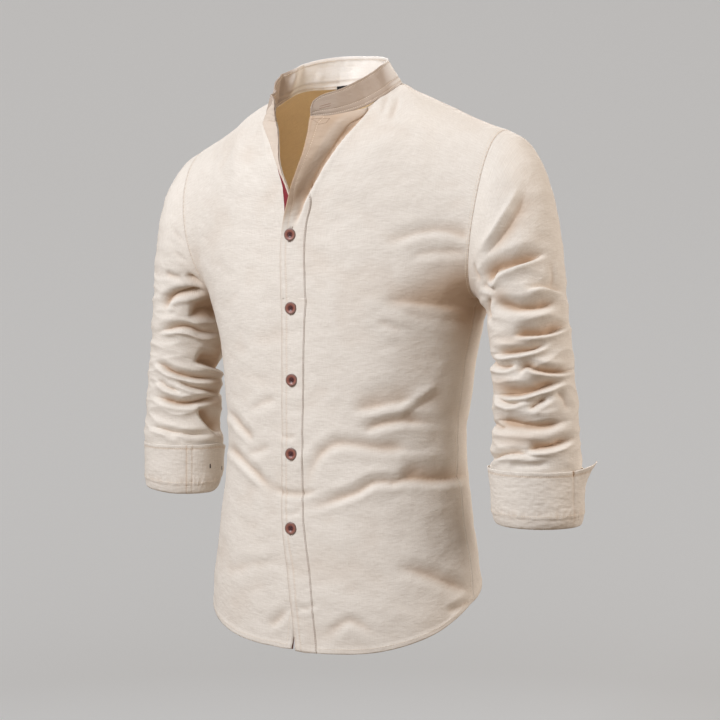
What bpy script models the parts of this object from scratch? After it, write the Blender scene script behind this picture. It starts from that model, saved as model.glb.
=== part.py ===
"""A long-sleeved shirt with a band collar, hollow, in the shape it keeps when it is worn.

Metres, +Z up. The front faces -Y and the wearer's left is +X. The origin is midway between the two
high shoulder points, where the collar meets the shoulder seams. Every piece of cloth is a thin wall
on a surface worked out from the sizes and tables below.
"""

import math
from collections import namedtuple

import bmesh
import bpy
import numpy as np
from mathutils import Vector

# ---- cloth and seams
WALL = 0.0013
SEAM_GAP = 0.0003
SEAM_INSET = 0.0016  # share of a panel or sleeve left off at a seam
UNDERARM_INSET = 0.0034  # and more of it where two walls meet at a sharp angle
LAYER_STEP = WALL + 0.0004  # from the middle of one layer to the middle of the next
RIGHT_TUCK = 0.0038  # how far the right front's edge lies inside the left front
FULLNESS = 2.2  # roundness of a body section: 2 is an ellipse, more is squarer

# ---- body, one row for each level section
Section = namedtuple("Section", "height half_width front back")
BODY = (
    Section(-0.745, 0.192, 0.123, 0.108),
    Section(-0.661, 0.193, 0.123, 0.108),
    Section(-0.602, 0.186, 0.121, 0.108),
    Section(-0.540, 0.176, 0.119, 0.108),
    Section(-0.450, 0.168, 0.118, 0.109),
    Section(-0.389, 0.175, 0.118, 0.117),
    Section(-0.315, 0.189, 0.119, 0.124),
    Section(-0.276, 0.203, 0.120, 0.126),
)
UNDERARM = -0.276
HALF_X, HALF_Y = 0.19, 0.12  # the body's mean half width and half depth, for its outward direction
LIFT_WAY = 12  # how strongly that direction turns up over the shoulders
# the hem's height round the body: turn is 0 at the centre front and 180 at the centre back
Hem = namedtuple("Hem", "turn height")
HEM = (
    Hem(0, -0.716),
    Hem(30, -0.708),
    Hem(60, -0.686),
    Hem(90, -0.653),
    Hem(115, -0.640),
    Hem(150, -0.690),
    Hem(180, -0.720),
)

# ---- front edges, x of each edge by height: the left front laps over the right
Edge = namedtuple("Edge", "height x depth")
LEFT_EDGE = (
    Edge(-0.720, 0.010, 0.122),
    Edge(-0.640, -0.002, 0.121),
    Edge(-0.560, -0.0150, 0.119),
    Edge(-0.450, -0.0165, 0.118),
    Edge(-0.276, -0.0165, 0.120),
    Edge(-0.200, -0.0155, 0.121),
    Edge(-0.139, -0.0010, 0.122),
    Edge(-0.095, 0.0110, 0.117),
    Edge(-0.051, 0.0200, 0.107),
)
RIGHT_EDGE = (
    Edge(-0.720, -0.0010, 0.120),
    Edge(-0.640, 0.0110, 0.120),
    Edge(-0.560, 0.0165, 0.118),
    Edge(-0.450, 0.0165, 0.118),
    Edge(-0.276, 0.0165, 0.120),
    Edge(-0.200, 0.0120, 0.120),
    Edge(-0.139, -0.0090, 0.119),
    Edge(-0.095, -0.0330, 0.112),
    Edge(-0.051, -0.0560, 0.099),
)
NECK_PIT = -0.051

# ---- neck seam from the centre back (along = 0) by the shoulder (SHOULDER_AT) to the front end (1)
Neck = namedtuple("Neck", "along x y z")
LEFT_NECK = (
    Neck(0.00, 0.000, 0.064, 0.010),
    Neck(0.20, 0.046, 0.048, 0.006),
    Neck(0.40, 0.078, 0.010, 0.000),
    Neck(0.57, 0.079, -0.028, -0.018),
    Neck(0.74, 0.067, -0.066, -0.038),
    Neck(0.88, 0.045, -0.094, -0.049),
    Neck(1.00, 0.020, -0.107, -0.051),
)
RIGHT_NECK = (
    Neck(0.00, 0.000, 0.064, 0.010),
    Neck(0.20, -0.046, 0.048, 0.006),
    Neck(0.40, -0.078, 0.010, 0.000),
    Neck(0.57, -0.084, -0.026, -0.017),
    Neck(0.74, -0.083, -0.055, -0.034),
    Neck(0.88, -0.073, -0.080, -0.046),
    Neck(1.00, -0.056, -0.099, -0.051),
)
SHOULDER_AT = 0.40
NECK_SPREAD = 0.026  # how far the front's rows swing sideways beside the neck
SHOULDER_SLOPE = 0.44  # and how much they fall as they do
CORNER_ROUNDING = 0.12  # how widely the corner of neck and shoulder is smoothed lower down
# the right front's edge and the collar's right end turn back into the neck opening
CURL = (0.008, 0.011, 0.001)
CURL_SHARE = 0.05
CURL_LOW, CURL_HIGH = -0.125, -0.058

# ---- armhole seam, a leaning egg from the shoulder point to the underarm
SHOULDER_POINT = (0.236, 0.010, -0.070)
ARMPIT_X = 0.203
ARMPIT_POINT = (ARMPIT_X, 0.000, UNDERARM)
ARMHOLE_FRONT = 0.066
ARMHOLE_BACK = 0.062
ARMHOLE_BOW = 0.008  # how far the seam bows outward half way down
SHOULDER_SAG = 0.003
SIDE_PULL = 2.5  # how fast the armhole's pull on a row of the chest fades towards the middle

# ---- sleeve, one row for each ring from the armhole (0) to the turned-up end (1)
Ring = namedtuple("Ring", "along outer_x outer_z inner_x inner_z front back")
SLEEVE = (
    Ring(0.00, 0.236, -0.070, 0.203, -0.276, 0.066, 0.062),
    Ring(0.05, 0.256, -0.081, 0.210, -0.280, 0.068, 0.064),
    Ring(0.10, 0.275, -0.104, 0.216, -0.287, 0.068, 0.065),
    Ring(0.16, 0.290, -0.136, 0.221, -0.297, 0.066, 0.064),
    Ring(0.24, 0.302, -0.188, 0.224, -0.309, 0.063, 0.062),
    Ring(0.36, 0.311, -0.262, 0.225, -0.326, 0.059, 0.059),
    Ring(0.50, 0.319, -0.333, 0.227, -0.356, 0.055, 0.056),
    Ring(0.66, 0.327, -0.392, 0.228, -0.402, 0.053, 0.054),
    Ring(0.80, 0.331, -0.442, 0.228, -0.445, 0.053, 0.053),
    Ring(0.88, 0.331, -0.473, 0.227, -0.474, 0.0515, 0.0515),
    Ring(0.92, 0.330, -0.490, 0.2265, -0.490, 0.0505, 0.0505),
    Ring(1.00, 0.3322, -0.548, 0.2238, -0.548, 0.0522, 0.0522),
)

# ---- folds of the sleeves. turn is 0 at the outside, 90 at the front and 180 next to the body;
# a fold runs from its start to its end and bows upward between them; depth is outward
Fold = namedtuple("Fold", "turn_a height_a turn_b height_b bow width depth")
LEFT_SLEEVE_FOLDS = (
    Fold(50, -0.130, 150, -0.255, 0.000, 0.018, 0.004),
    Fold(20, -0.215, 130, -0.246, 0.016, 0.011, -0.006),
    Fold(-20, -0.262, 150, -0.268, 0.010, 0.010, 0.005),
    Fold(0, -0.280, 120, -0.284, 0.006, 0.010, -0.006),
    Fold(10, -0.296, 160, -0.300, -0.016, 0.010, 0.005),
    Fold(-30, -0.303, 80, -0.322, 0.000, 0.010, -0.005),
    Fold(60, -0.340, 140, -0.345, 0.004, 0.008, -0.004),
    Fold(-40, -0.352, 50, -0.357, 0.004, 0.009, -0.005),
    Fold(0, -0.371, 120, -0.392, 0.000, 0.010, -0.006),
    Fold(-10, -0.418, 130, -0.412, 0.000, 0.010, -0.006),
    Fold(-20, -0.432, 60, -0.452, 0.000, 0.010, -0.005),
    Fold(50, -0.457, 150, -0.464, 0.006, 0.008, -0.004),
    Fold(190, -0.330, 330, -0.322, 0.004, 0.011, -0.005),
    Fold(170, -0.378, 300, -0.384, -0.004, 0.011, -0.005),
    Fold(200, -0.432, 330, -0.424, 0.004, 0.011, -0.005),
)
RIGHT_SLEEVE_FOLDS = (
    Fold(60, -0.225, 170, -0.262, 0.000, 0.015, 0.004),
    Fold(50, -0.285, 130, -0.270, 0.008, 0.010, -0.005),
    Fold(120, -0.268, 210, -0.300, 0.000, 0.013, -0.006),
    Fold(40, -0.325, 170, -0.326, 0.008, 0.010, -0.005),
    Fold(130, -0.352, 220, -0.348, 0.000, 0.012, -0.006),
    Fold(40, -0.366, 180, -0.386, 0.002, 0.009, -0.006),
    Fold(90, -0.394, 200, -0.400, 0.000, 0.009, -0.005),
    Fold(40, -0.418, 170, -0.418, -0.002, 0.009, -0.006),
    Fold(130, -0.434, 220, -0.438, 0.000, 0.011, -0.006),
    Fold(40, -0.462, 150, -0.462, 0.006, 0.009, -0.005),
    Fold(230, -0.330, 380, -0.322, 0.004, 0.011, -0.005),
    Fold(240, -0.378, 390, -0.384, -0.004, 0.011, -0.005),
    Fold(230, -0.432, 380, -0.424, 0.004, 0.011, -0.005),
    Fold(-40, -0.290, 110, -0.290, 0.000, 0.045, -0.007),
)

# ---- folds of the body, in the same columns: turn is 0 at the centre front, 90 at the wearer's
# left side, -90 at the right side and 180 at the centre back
BODY_FOLDS = (
    Fold(8, -0.540, 92, -0.478, -0.006, 0.012, -0.006),
    Fold(6, -0.518, 92, -0.446, -0.006, 0.014, 0.005),
    Fold(14, -0.470, 60, -0.462, 0.008, 0.012, -0.004),
    Fold(38, -0.444, 100, -0.436, 0.004, 0.012, -0.004),
    Fold(-86, -0.424, -42, -0.462, 0.000, 0.010, -0.004),
    Fold(-88, -0.470, -30, -0.532, 0.000, 0.010, -0.004),
    Fold(46, -0.612, 96, -0.640, 0.004, 0.012, -0.004),
    Fold(34, -0.214, 76, -0.196, 0.004, 0.012, -0.003),
    Fold(108, -0.440, 170, -0.470, 0.006, 0.014, -0.005),
    Fold(-108, -0.452, -170, -0.480, 0.006, 0.014, -0.005),
    Fold(112, -0.250, 150, -0.190, 0.000, 0.014, -0.004),
    Fold(-112, -0.250, -150, -0.190, 0.000, 0.014, -0.004),
)
# the left front's open edge stands forward of a valley that runs down from the collar
STAND = 0.004
VALLEY_TOP = (0.070, -0.066)
VALLEY_END = (0.010, -0.178)
VALLEY_WIDTH = 0.020
VALLEY_DEPTH = 0.005

# ---- trims
PLACKET_SHARE = 0.093  # of a front, about 32 mm wide
PLACKET_TOP = 0.985
TAPE_EDGES = (0.008, 0.042)  # shares of the right front, about 12 mm wide
TAPE_TOP = 0.90  # how far up the front the tape reaches
TAPE_THICKNESS = 0.0010
TAPE_LIFT = 1.12  # layers
Band = namedtuple("Band", "along height lean")
LEFT_BAND = (
    Band(0.00, 0.0390, 0.006),
    Band(0.20, 0.0340, 0.014),
    Band(0.40, 0.0290, 0.021),
    Band(0.57, 0.0340, 0.016),
    Band(0.74, 0.0355, 0.010),
    Band(0.88, 0.0300, 0.006),
    Band(1.00, 0.0270, 0.003),
)
RIGHT_BAND = (
    Band(0.00, 0.0390, 0.006),
    Band(0.20, 0.0430, 0.006),
    Band(0.40, 0.0380, 0.008),
    Band(0.60, 0.0390, 0.003),
    Band(0.80, 0.0380, 0.008),
    Band(1.00, 0.0300, 0.006),
)
COLLAR_LIFT = 0.0013
COLLAR_END_ROUND = 0.022
CUFF_TOP = -0.481
CUFF_BOTTOM = -0.549
CUFF_CENTRE_X = 0.278
CUFF_RADIUS_X = 0.0560
CUFF_RADIUS_Y = 0.0540
CUFF_FLARE = 0.014  # how far the free corner of the left cuff stands out
LABEL_THICKNESS = 0.0010
BUTTON_RADIUS = 0.0066
BUTTON_THICKNESS = 0.0028
BUTTON_TOP = -0.196
BUTTON_PITCH = 0.0917
BUTTON_COUNT = 5
BUTTON_X = 0.002
BUTTON_SIDES = 16

# ---- how finely the walls are divided
YOKE_ROWS = 11
SKIRT_ROWS = 20
PLACKET_COLUMNS = 2
NECK_COLUMNS = 5
SHOULDER_COLUMNS = 7
NECK_SHARE = 0.40
BACK_NECK_COLUMNS = 5
BACK_NECK_SHARE = 0.34
SLEEVE_SIDES = 2 * YOKE_ROWS
SLEEVE_RINGS = 32
STEP = 2 * math.pi / SLEEVE_SIDES
CUFF_ROUND = 2 * math.pi + STEP
YOKE_SHARE = YOKE_ROWS / (YOKE_ROWS + SKIRT_ROWS)

# ---- colours
CLOTH = (0.80, 0.73, 0.64)
COLOURS = {
    "cloth": (CLOTH, 0.85),
    "tape": ((0.28, 0.03, 0.04), 0.70),
    "label": ((0.03, 0.03, 0.03), 0.60),
    "button": ((0.22, 0.10, 0.06), 0.45),
}


def smooth(rows, column, at, key=0):
    """A column of a table read at any key, on a smooth curve through its rows."""
    keys = np.array([row[key] for row in rows], float)
    values = np.array([getattr(row, column) for row in rows], float)
    if keys[0] > keys[-1]:
        keys, values = keys[::-1], values[::-1]
    slopes = np.gradient(values, keys)
    at = np.clip(np.asarray(at, float), keys[0], keys[-1])
    i = np.clip(np.searchsorted(keys, at, side="right") - 1, 0, len(keys) - 2)
    span = keys[i + 1] - keys[i]
    t = (at - keys[i]) / span
    rise = (3 - 2 * t) * t * t
    lift = span * t * (1 - t)
    return (
        values[i] * (1 - rise)
        + values[i + 1] * rise
        + lift * ((1 - t) * slopes[i] - t * slopes[i + 1])
    )


def ease(x, low, high):
    """0 below low, 1 above high and a smooth step between them."""
    t = np.clip((np.asarray(x, float) - low) / (high - low), 0, 1)
    return t * t * (3 - 2 * t)


def power(value, exponent):
    return np.sign(value) * np.abs(value) ** exponent


def body_section(turn, height):
    """A point of the body at a turn in radians and a height."""
    half = smooth(BODY, "half_width", height)
    front = smooth(BODY, "front", height)
    back = smooth(BODY, "back", height)
    across, along = np.sin(turn), np.cos(turn)
    depth = np.where(along > 0, front, back)
    x = half * power(across, 2 / FULLNESS)
    y = -depth * power(along, 2 / FULLNESS)
    return np.stack([x, y, height + 0 * x], -1)


def edge_turn(x, height):
    """The turn at which a body section has this x, near the centre front."""
    return np.arcsin(power(x / smooth(BODY, "half_width", height), FULLNESS / 2))


def hem_height(turn):
    return smooth(HEM, "height", np.abs(np.degrees(turn)))


def armhole(angle, side):
    """A point of the armhole seam: 0 at the shoulder, a quarter turn at the front, half underarm."""
    top, bottom = np.array(SHOULDER_POINT), np.array(ARMPIT_POINT)
    middle, half = (top + bottom) / 2, (top - bottom) / 2
    point = middle + half * np.cos(angle)[..., None]
    across = np.sin(angle)
    point[..., 0] += ARMHOLE_BOW * across**2
    point[..., 1] -= np.where(across > 0, ARMHOLE_FRONT, ARMHOLE_BACK) * power(
        across, 0.9
    )
    point[..., 0] *= side
    return point


def neck_seam(along, side):
    rows = LEFT_NECK if side > 0 else RIGHT_NECK
    return np.stack([smooth(rows, c, along) for c in "xyz"], -1)


def shoulder_seam(along, side):
    """From the neck (0) to the shoulder point (1)."""
    start = neck_seam(np.full_like(along, SHOULDER_AT), side)
    end = np.array(SHOULDER_POINT) * (side, 1, 1)
    point = start + (end - start) * along[..., None]
    point[..., 2] -= SHOULDER_SAG * np.sin(math.pi * along)
    return point


def climb(s):
    """Share of the height climbed at a row of the yoke, slow at the underarm and the shoulder."""
    return (1 - np.cos(math.pi * s)) / 2


def round_over(s):
    """How far the chest has turned back over the shoulder."""
    return 1 - np.sqrt(np.clip(1 - climb(s) ** 2.2, 0, 1))


def front_surface(across, up, side):
    """across runs from the front edge (0) to the side or armhole (1), up from the hem to the top."""
    edge = LEFT_EDGE if side > 0 else RIGHT_EDGE
    skirt = np.clip(up / (1 - YOKE_SHARE), 0, 1)
    yoke = np.clip((up - 1 + YOKE_SHARE) / YOKE_SHARE, 0, 1)

    first_turn = edge_turn(
        side * smooth(edge, "x", np.full_like(up, UNDERARM)), UNDERARM
    )
    turn = first_turn + (math.pi / 2 - first_turn) * across
    hem = hem_height(turn)
    height = hem + (UNDERARM - hem) * skirt
    first_turn = edge_turn(side * smooth(edge, "x", height), height)
    turn = first_turn + (math.pi / 2 - first_turn) * across
    low = body_section(turn, height) * (side, 1, 1)

    across = np.minimum(across, 1 - seam_inset(yoke))
    rise = climb(yoke)
    width = np.minimum(across, 1 - across)
    width = np.minimum(width, CORNER_ROUNDING * np.sqrt(1 - rise**2.2))
    offsets, weights = (-1, -0.5, 0, 0.5, 1), (1, 2, 3, 2, 1)
    top = sum(w * front_top(across + k * width, side) for k, w in zip(offsets, weights))
    top = top / sum(weights)
    rounded = armhole_turn(yoke, 1)
    turn = first_turn + (math.pi / 2 - first_turn) * across
    turn = turn + (rounded - math.pi / 2) * across**SIDE_PULL
    base = body_section(turn, np.full_like(turn, UNDERARM)) * (side, 1, 1)
    high = yoke_surface(base, top, edge_line(yoke, side), across, yoke, side, 1)
    spread = ease(across, 0.02, 0.30) * (1 - ease(across, 0.36, 0.72))
    swing = 3 * rise**3 * np.sqrt(1 - rise**2.2) * spread
    high[..., 0] += side * NECK_SPREAD * swing
    high[..., 2] -= SHOULDER_SLOPE * NECK_SPREAD * swing
    point = np.where((yoke > 0)[..., None], high, low)
    if side < 0:
        point = point + curl(across / CURL_SHARE, point[..., 2])
    return point


def front_top(across, side):
    """The top line of a front: the neck seam from the front end, then the shoulder seam."""
    to_neck = 1 - (1 - SHOULDER_AT) * np.clip(across / NECK_SHARE, 0, 1)
    to_shoulder = np.clip((across - NECK_SHARE) / (1 - NECK_SHARE), 0, 1)
    return np.where(
        (across < NECK_SHARE)[..., None],
        neck_seam(to_neck, side),
        shoulder_seam(to_shoulder, side),
    )


def curl(share, height):
    """How the cloth near the right front's edge turns back: share is 0 at the edge, 1 at the bend."""
    bend = np.clip(1 - share, 0, 1) * ease(height, CURL_LOW, CURL_HIGH) ** 1.3
    return bend[..., None] * np.array(CURL)


def seam_inset(yoke):
    """The share left off at the side, more of it in the yoke's lowest rows by the underarm."""
    return SEAM_INSET + UNDERARM_INSET * (1 - ease(yoke, 0.0, 0.35)) * (yoke > 0)


def armhole_turn(yoke, facing):
    """The turn at which the underarm section is as deep as the armhole is at this row."""
    seam = armhole(math.pi * (1 - yoke) * facing, 1)
    depth = BODY[-1].front if facing > 0 else BODY[-1].back
    return np.arccos(power(np.clip(-seam[..., 1] / depth, -1, 1), FULLNESS / 2))


def edge_line(yoke, side):
    """The front edge from the underarm's height up to the neck pit."""
    edge = LEFT_EDGE if side > 0 else RIGHT_EDGE
    height = UNDERARM + (NECK_PIT - UNDERARM) * climb(yoke)
    return np.stack(
        [smooth(edge, "x", height), -smooth(edge, "depth", height), height], -1
    )


def yoke_surface(low, top, inner_line, across, yoke, side, facing):
    """The chest or upper back, between the underarm section, the top seams and the armhole."""
    share = np.stack([round_over(yoke), round_over(yoke), climb(yoke)], -1)

    def between(a, b):
        return a + (b - a) * share

    outer_line = armhole(math.pi * (1 - yoke) * facing, side)
    top_end = np.array(SHOULDER_POINT) * (side, 1, 1)
    end_turn = armhole_turn(yoke, facing)
    low_end = body_section(end_turn, np.full_like(end_turn, UNDERARM)) * (side, 1, 1)
    point = between(low, top)
    fix = outer_line - between(low_end, top_end)
    fix = fix * (across**SIDE_PULL)[..., None]
    point = point + fix
    if inner_line is not None:
        low_start = edge_line(np.zeros_like(yoke), side)
        top_start = edge_line(np.ones_like(yoke), side)
        fix = inner_line - between(low_start, top_start)
        point = point + fix * (1 - across)[..., None]
    return point


def back_surface(across, up):
    """across runs from the right side (-1) by the centre back (0) to the left side (1)."""
    side = np.where(across < 0, -1.0, 1.0)
    skirt = np.clip(up / (1 - YOKE_SHARE), 0, 1)
    yoke = np.clip((up - 1 + YOKE_SHARE) / YOKE_SHARE, 0, 1)
    share = np.minimum(np.abs(across), 1 - seam_inset(yoke))
    turn = math.pi - share * math.pi / 2
    hem = hem_height(turn)
    height = hem + (UNDERARM - hem) * skirt
    low = body_section(turn, height)
    to_neck = SHOULDER_AT * np.clip(share / BACK_NECK_SHARE, 0, 1)
    to_shoulder = np.clip((share - BACK_NECK_SHARE) / (1 - BACK_NECK_SHARE), 0, 1)
    top = np.where(
        (share < BACK_NECK_SHARE)[..., None],
        neck_seam(to_neck, 1),
        shoulder_seam(to_shoulder, 1),
    )
    rounded = armhole_turn(yoke, -1)
    turn = math.pi - share * math.pi / 2
    turn = turn + (rounded - math.pi / 2) * share**SIDE_PULL
    base = body_section(turn, np.full_like(turn, UNDERARM))
    high = yoke_surface(base, top, None, share, yoke, 1, -1)
    point = np.where((yoke > 0)[..., None], high, low)
    point[..., 0] *= side
    return point


def fold_height(fold, turn, height):
    """How far a fold moves the cloth out at a turn in degrees and a height."""
    middle, half = (fold.turn_a + fold.turn_b) / 2, (fold.turn_b - fold.turn_a) / 2
    t = (turn - middle) / half
    line = (fold.height_a + fold.height_b) / 2 + t * (
        fold.height_b - fold.height_a
    ) / 2
    line = line + fold.bow * (1 - t * t)
    taper = np.cos(np.clip(t, -1, 1) * math.pi / 2) ** 2
    return fold.depth * taper * np.exp(-(((height - line) / fold.width) ** 2))


def wrapped(turn, fold):
    """The turn in degrees, moved by whole turns to lie nearest to the fold's middle."""
    middle = (fold.turn_a + fold.turn_b) / 2
    return middle + (turn - middle + 180) % 360 - 180


def all_folds(folds, turn, height):
    return sum(fold_height(f, wrapped(turn, f), height) for f in folds)


def outward(point):
    """The direction away from the body's middle, level at the sides and up over the shoulders."""
    x, y, z = point[..., 0], point[..., 1], point[..., 2]
    lift = LIFT_WAY * ease(z, -0.16, 0.0) * np.clip(1.05 - (y / HALF_Y) ** 2, 0, 1)
    way = np.stack([x / HALF_X**2, y / HALF_Y**2, lift], -1)
    return way / np.linalg.norm(way, axis=-1, keepdims=True)


def line_distance(x, z, start, end):
    """Distance from a line in the x-z plane, and the share of the way along it."""
    start, end = np.array(start), np.array(end)
    way = end - start
    length = np.hypot(*way)
    way = way / length
    dx, dz = x - start[0], z - start[1]
    return dx * way[1] - dz * way[0], (dx * way[0] + dz * way[1]) / length


def creased(point, layer="plain"):
    """The body's cloth with its folds, and with the layers and the open edge of the fronts."""
    x, y, z = point[..., 0], point[..., 1], point[..., 2]
    turn = np.degrees(np.arctan2(x / HALF_X, -y / HALF_Y))
    out = all_folds(BODY_FOLDS, turn, z)
    near = 1 - ease(ARMPIT_X - np.abs(x), 0.0, 0.045)
    out = out * (1 - near * ease(z, UNDERARM - 0.03, UNDERARM))
    if layer == "left":
        off, along = line_distance(x, z, VALLEY_TOP, VALLEY_END)
        near = ease(along, -0.1, 0.15) * (1 - ease(along, 0.8, 1.05))
        out = out - VALLEY_DEPTH * near * np.exp(-((off / VALLEY_WIDTH) ** 2))
        rise = ease(z, -0.20, -0.12) * (1 - ease(x, 0.0, 0.035))
        out = out + STAND * rise * (1 - ease(z, -0.075, NECK_PIT))
    if layer == "right":
        tuck = ease(x, -0.055, -0.020) * (1 - ease(z, -0.10, NECK_PIT))
        out = out - RIGHT_TUCK * tuck
    return point + outward(point) * out[..., None]


def sleeve_ring(angle, along):
    """A smooth point of the left sleeve."""
    outer = np.stack(
        [smooth(SLEEVE, "outer_x", along), smooth(SLEEVE, "outer_z", along)], -1
    )
    inner = np.stack(
        [smooth(SLEEVE, "inner_x", along), smooth(SLEEVE, "inner_z", along)], -1
    )
    middle, half = (outer + inner) / 2, (outer - inner) / 2
    at = middle + half * np.cos(angle)[..., None]
    across = np.sin(angle)
    depth = np.where(
        across > 0, smooth(SLEEVE, "front", along), smooth(SLEEVE, "back", along)
    )
    seam = 1 - ease(along, 0, 0.16)
    x = at[..., 0] + ARMHOLE_BOW * across**2 * seam
    lean = SHOULDER_POINT[1] / 2 * (1 + np.cos(angle)) * seam
    y = lean - depth * power(across, 0.9 + 0.1 * (1 - seam))
    return np.stack([x, y, at[..., 1]], -1), middle


def sleeve_surface(angle, along, side):
    """The sleeve with its folds, from the armhole (0) to the end inside the cuff (1)."""
    along = np.maximum(along, SEAM_INSET + UNDERARM_INSET * ease(-np.cos(angle), 0, 0.9))
    point, middle = sleeve_ring(angle, along)
    folds = LEFT_SLEEVE_FOLDS if side > 0 else RIGHT_SLEEVE_FOLDS
    out = all_folds(folds, np.degrees(angle), point[..., 2])
    out = out * ease(along, 0.04, 0.2) * (1 - ease(along, 0.86, 0.91))
    way = np.stack(
        [point[..., 0] - middle[..., 0], point[..., 1], point[..., 2] - middle[..., 1]],
        -1,
    )
    way = way / np.linalg.norm(way, axis=-1, keepdims=True)
    point = point + way * out[..., None]
    point[..., 0] *= side
    return point


def cuff_surface(way, up, side, end, flare):
    """A turned-up cuff: way is how far round it we are, up from the fold (0) to the edge (1).

    It ends at the turn end, where it laps over its own start, one layer out."""
    turn = end - (way - CUFF_ROUND)
    over = ease(way, 2 * math.pi - 0.7, 2 * math.pi - 0.05)
    corner = ease(way, CUFF_ROUND - 0.8, CUFF_ROUND + 0.1) * (0.15 + 0.85 * up)
    radius = LAYER_STEP * 1.4 * over + 0.0015 * up + flare * corner
    x = CUFF_CENTRE_X + (CUFF_RADIUS_X + radius) * np.cos(turn)
    y = -(CUFF_RADIUS_Y + radius) * np.sin(turn)
    z = CUFF_BOTTOM + (CUFF_TOP - CUFF_BOTTOM) * up + 0.5 * flare * corner * up
    return np.stack([side * x, y, z], -1)


def collar_surface(along, up):
    """The collar band: along from the right end (-1) by the back (0) to the left end (1)."""
    share = np.abs(along)
    left = along > 0
    bend = curl((1 - share) / 1.5 / CURL_SHARE, np.full_like(share, NECK_PIT))
    seam = np.where(
        left[..., None], neck_seam(share, 1), neck_seam(share, -1) + bend
    )
    height = np.where(
        left, smooth(LEFT_BAND, "height", share), smooth(RIGHT_BAND, "height", share)
    )
    inward = np.where(
        left, smooth(LEFT_BAND, "lean", share), smooth(RIGHT_BAND, "lean", share)
    )
    to_end = (1 - share) * 0.2
    corner = np.clip(1 - to_end / COLLAR_END_ROUND, 0, 1)
    height = height * (0.45 + 0.55 * np.sqrt(1 - corner**2))
    lean = np.stack([-seam[..., 0], -0.02 - seam[..., 1]], -1)
    lean = lean / np.linalg.norm(lean, axis=-1, keepdims=True)
    point = seam.copy()
    point[..., :2] += lean * (inward * up)[..., None]
    point[..., 2] += COLLAR_LIFT * (1 - 0.3 * ease(share, 0.8, 1)) + up * height
    return point


def finish(name, bm, slot):
    mesh = bpy.data.meshes.new(name)
    bm.to_mesh(mesh)
    bm.free()
    obj = bpy.data.objects.new(name, mesh)
    bpy.context.collection.objects.link(obj)
    mesh.materials.append(material(slot))
    mesh.shade_smooth()
    return obj


def material(slot):
    found = bpy.data.materials.get(slot)
    if found:
        return found
    colour, roughness = COLOURS[slot]
    made = bpy.data.materials.new(slot)
    made.use_nodes = True
    shader = made.node_tree.nodes["Principled BSDF"]
    shader.inputs["Base Color"].default_value = (*colour, 1)
    shader.inputs["Roughness"].default_value = roughness
    shader.inputs["Metallic"].default_value = 0.0
    return made


def wall(name, columns, rows, surface, slot="cloth", thickness=WALL, tube=False):
    """A sheet over the columns and rows that are given, as a closed wall of even thickness."""
    bm = bmesh.new()
    bmesh.ops.create_grid(
        bm, x_segments=len(columns) - 1, y_segments=len(rows) - 1, size=1
    )
    verts = list(bm.verts)
    place = np.array([v.co[:2] for v in verts])
    i = np.rint((place[:, 0] + 1) / 2 * (len(columns) - 1)).astype(int)
    j = np.rint((place[:, 1] + 1) / 2 * (len(rows) - 1)).astype(int)
    points = surface(np.array(columns)[i], np.array(rows)[j])
    for vert, point in zip(verts, points):
        vert.co = point
    if tube:
        bmesh.ops.remove_doubles(bm, verts=bm.verts, dist=1e-6)
    obj = finish(name, bm, slot)
    shell = obj.modifiers.new("wall", "SOLIDIFY")
    shell.thickness = thickness
    shell.offset = 0
    shell.use_even_offset = False
    return obj


def spaced(stops, counts):
    """Numbers from the first stop to the last, with a count of even steps in each stretch."""
    values = [stops[0]]
    for low, high, count in zip(stops, stops[1:], counts):
        values += [low + (high - low) * k / count for k in range(1, count + 1)]
    return values


def inset(values, low, high):
    """The same numbers, with the first and last pulled in to leave a seam's gap."""
    return [values[0] + low, *values[1:-1], values[-1] - high]


def panel_rows():
    rows = spaced((0, 1 - YOKE_SHARE, 1), (SKIRT_ROWS, YOKE_ROWS))
    return inset(rows, 0, 0.0006)


FRONT_COLUMNS = spaced(
    (0, PLACKET_SHARE, NECK_SHARE, 1),
    (PLACKET_COLUMNS, NECK_COLUMNS, SHOULDER_COLUMNS),
)
BACK_COLUMNS = spaced(
    (0, BACK_NECK_SHARE, 1), (BACK_NECK_COLUMNS, SHOULDER_COLUMNS)
)


def make_fronts():
    columns = inset(FRONT_COLUMNS, 0, SEAM_INSET)
    rows = panel_rows()
    for name, side, layer in (("front_left", 1, "left"), ("front_right", -1, "right")):
        wall(
            name,
            columns,
            rows,
            lambda a, u, s=side, k=layer: creased(front_surface(a, u, s), k),
        )


def make_back():
    half = inset(BACK_COLUMNS, 0, SEAM_INSET)
    columns = [-c for c in half[:0:-1]] + half
    wall("back", columns, panel_rows(), lambda a, u: creased(back_surface(a, u)))


def make_sleeves():
    turns = [2 * math.pi * k / SLEEVE_SIDES for k in range(SLEEVE_SIDES + 1)]
    rings = spaced((0, 0.2, 0.9, 1), (7, SLEEVE_RINGS - 10, 3))
    rings = inset(rings, SEAM_INSET, 0)
    for name, side in (("sleeve_left", 1), ("sleeve_right", -1)):
        wall(
            name,
            turns,
            rings,
            lambda a, t, s=side: sleeve_surface(a, t, s),
            tube=True,
        )


def make_cuffs():
    ways = spaced((0, CUFF_ROUND), (SLEEVE_SIDES + 1,))
    for name, side, last, flare in (
        ("cuff_left", 1, -2, CUFF_FLARE),
        ("cuff_right", -1, 7, 0),
    ):
        wall(
            name,
            ways,
            spaced((0, 1), (4,)),
            lambda w, u, s=side, e=last * STEP, f=flare: cuff_surface(w, u, s, e, f),
        )


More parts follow.
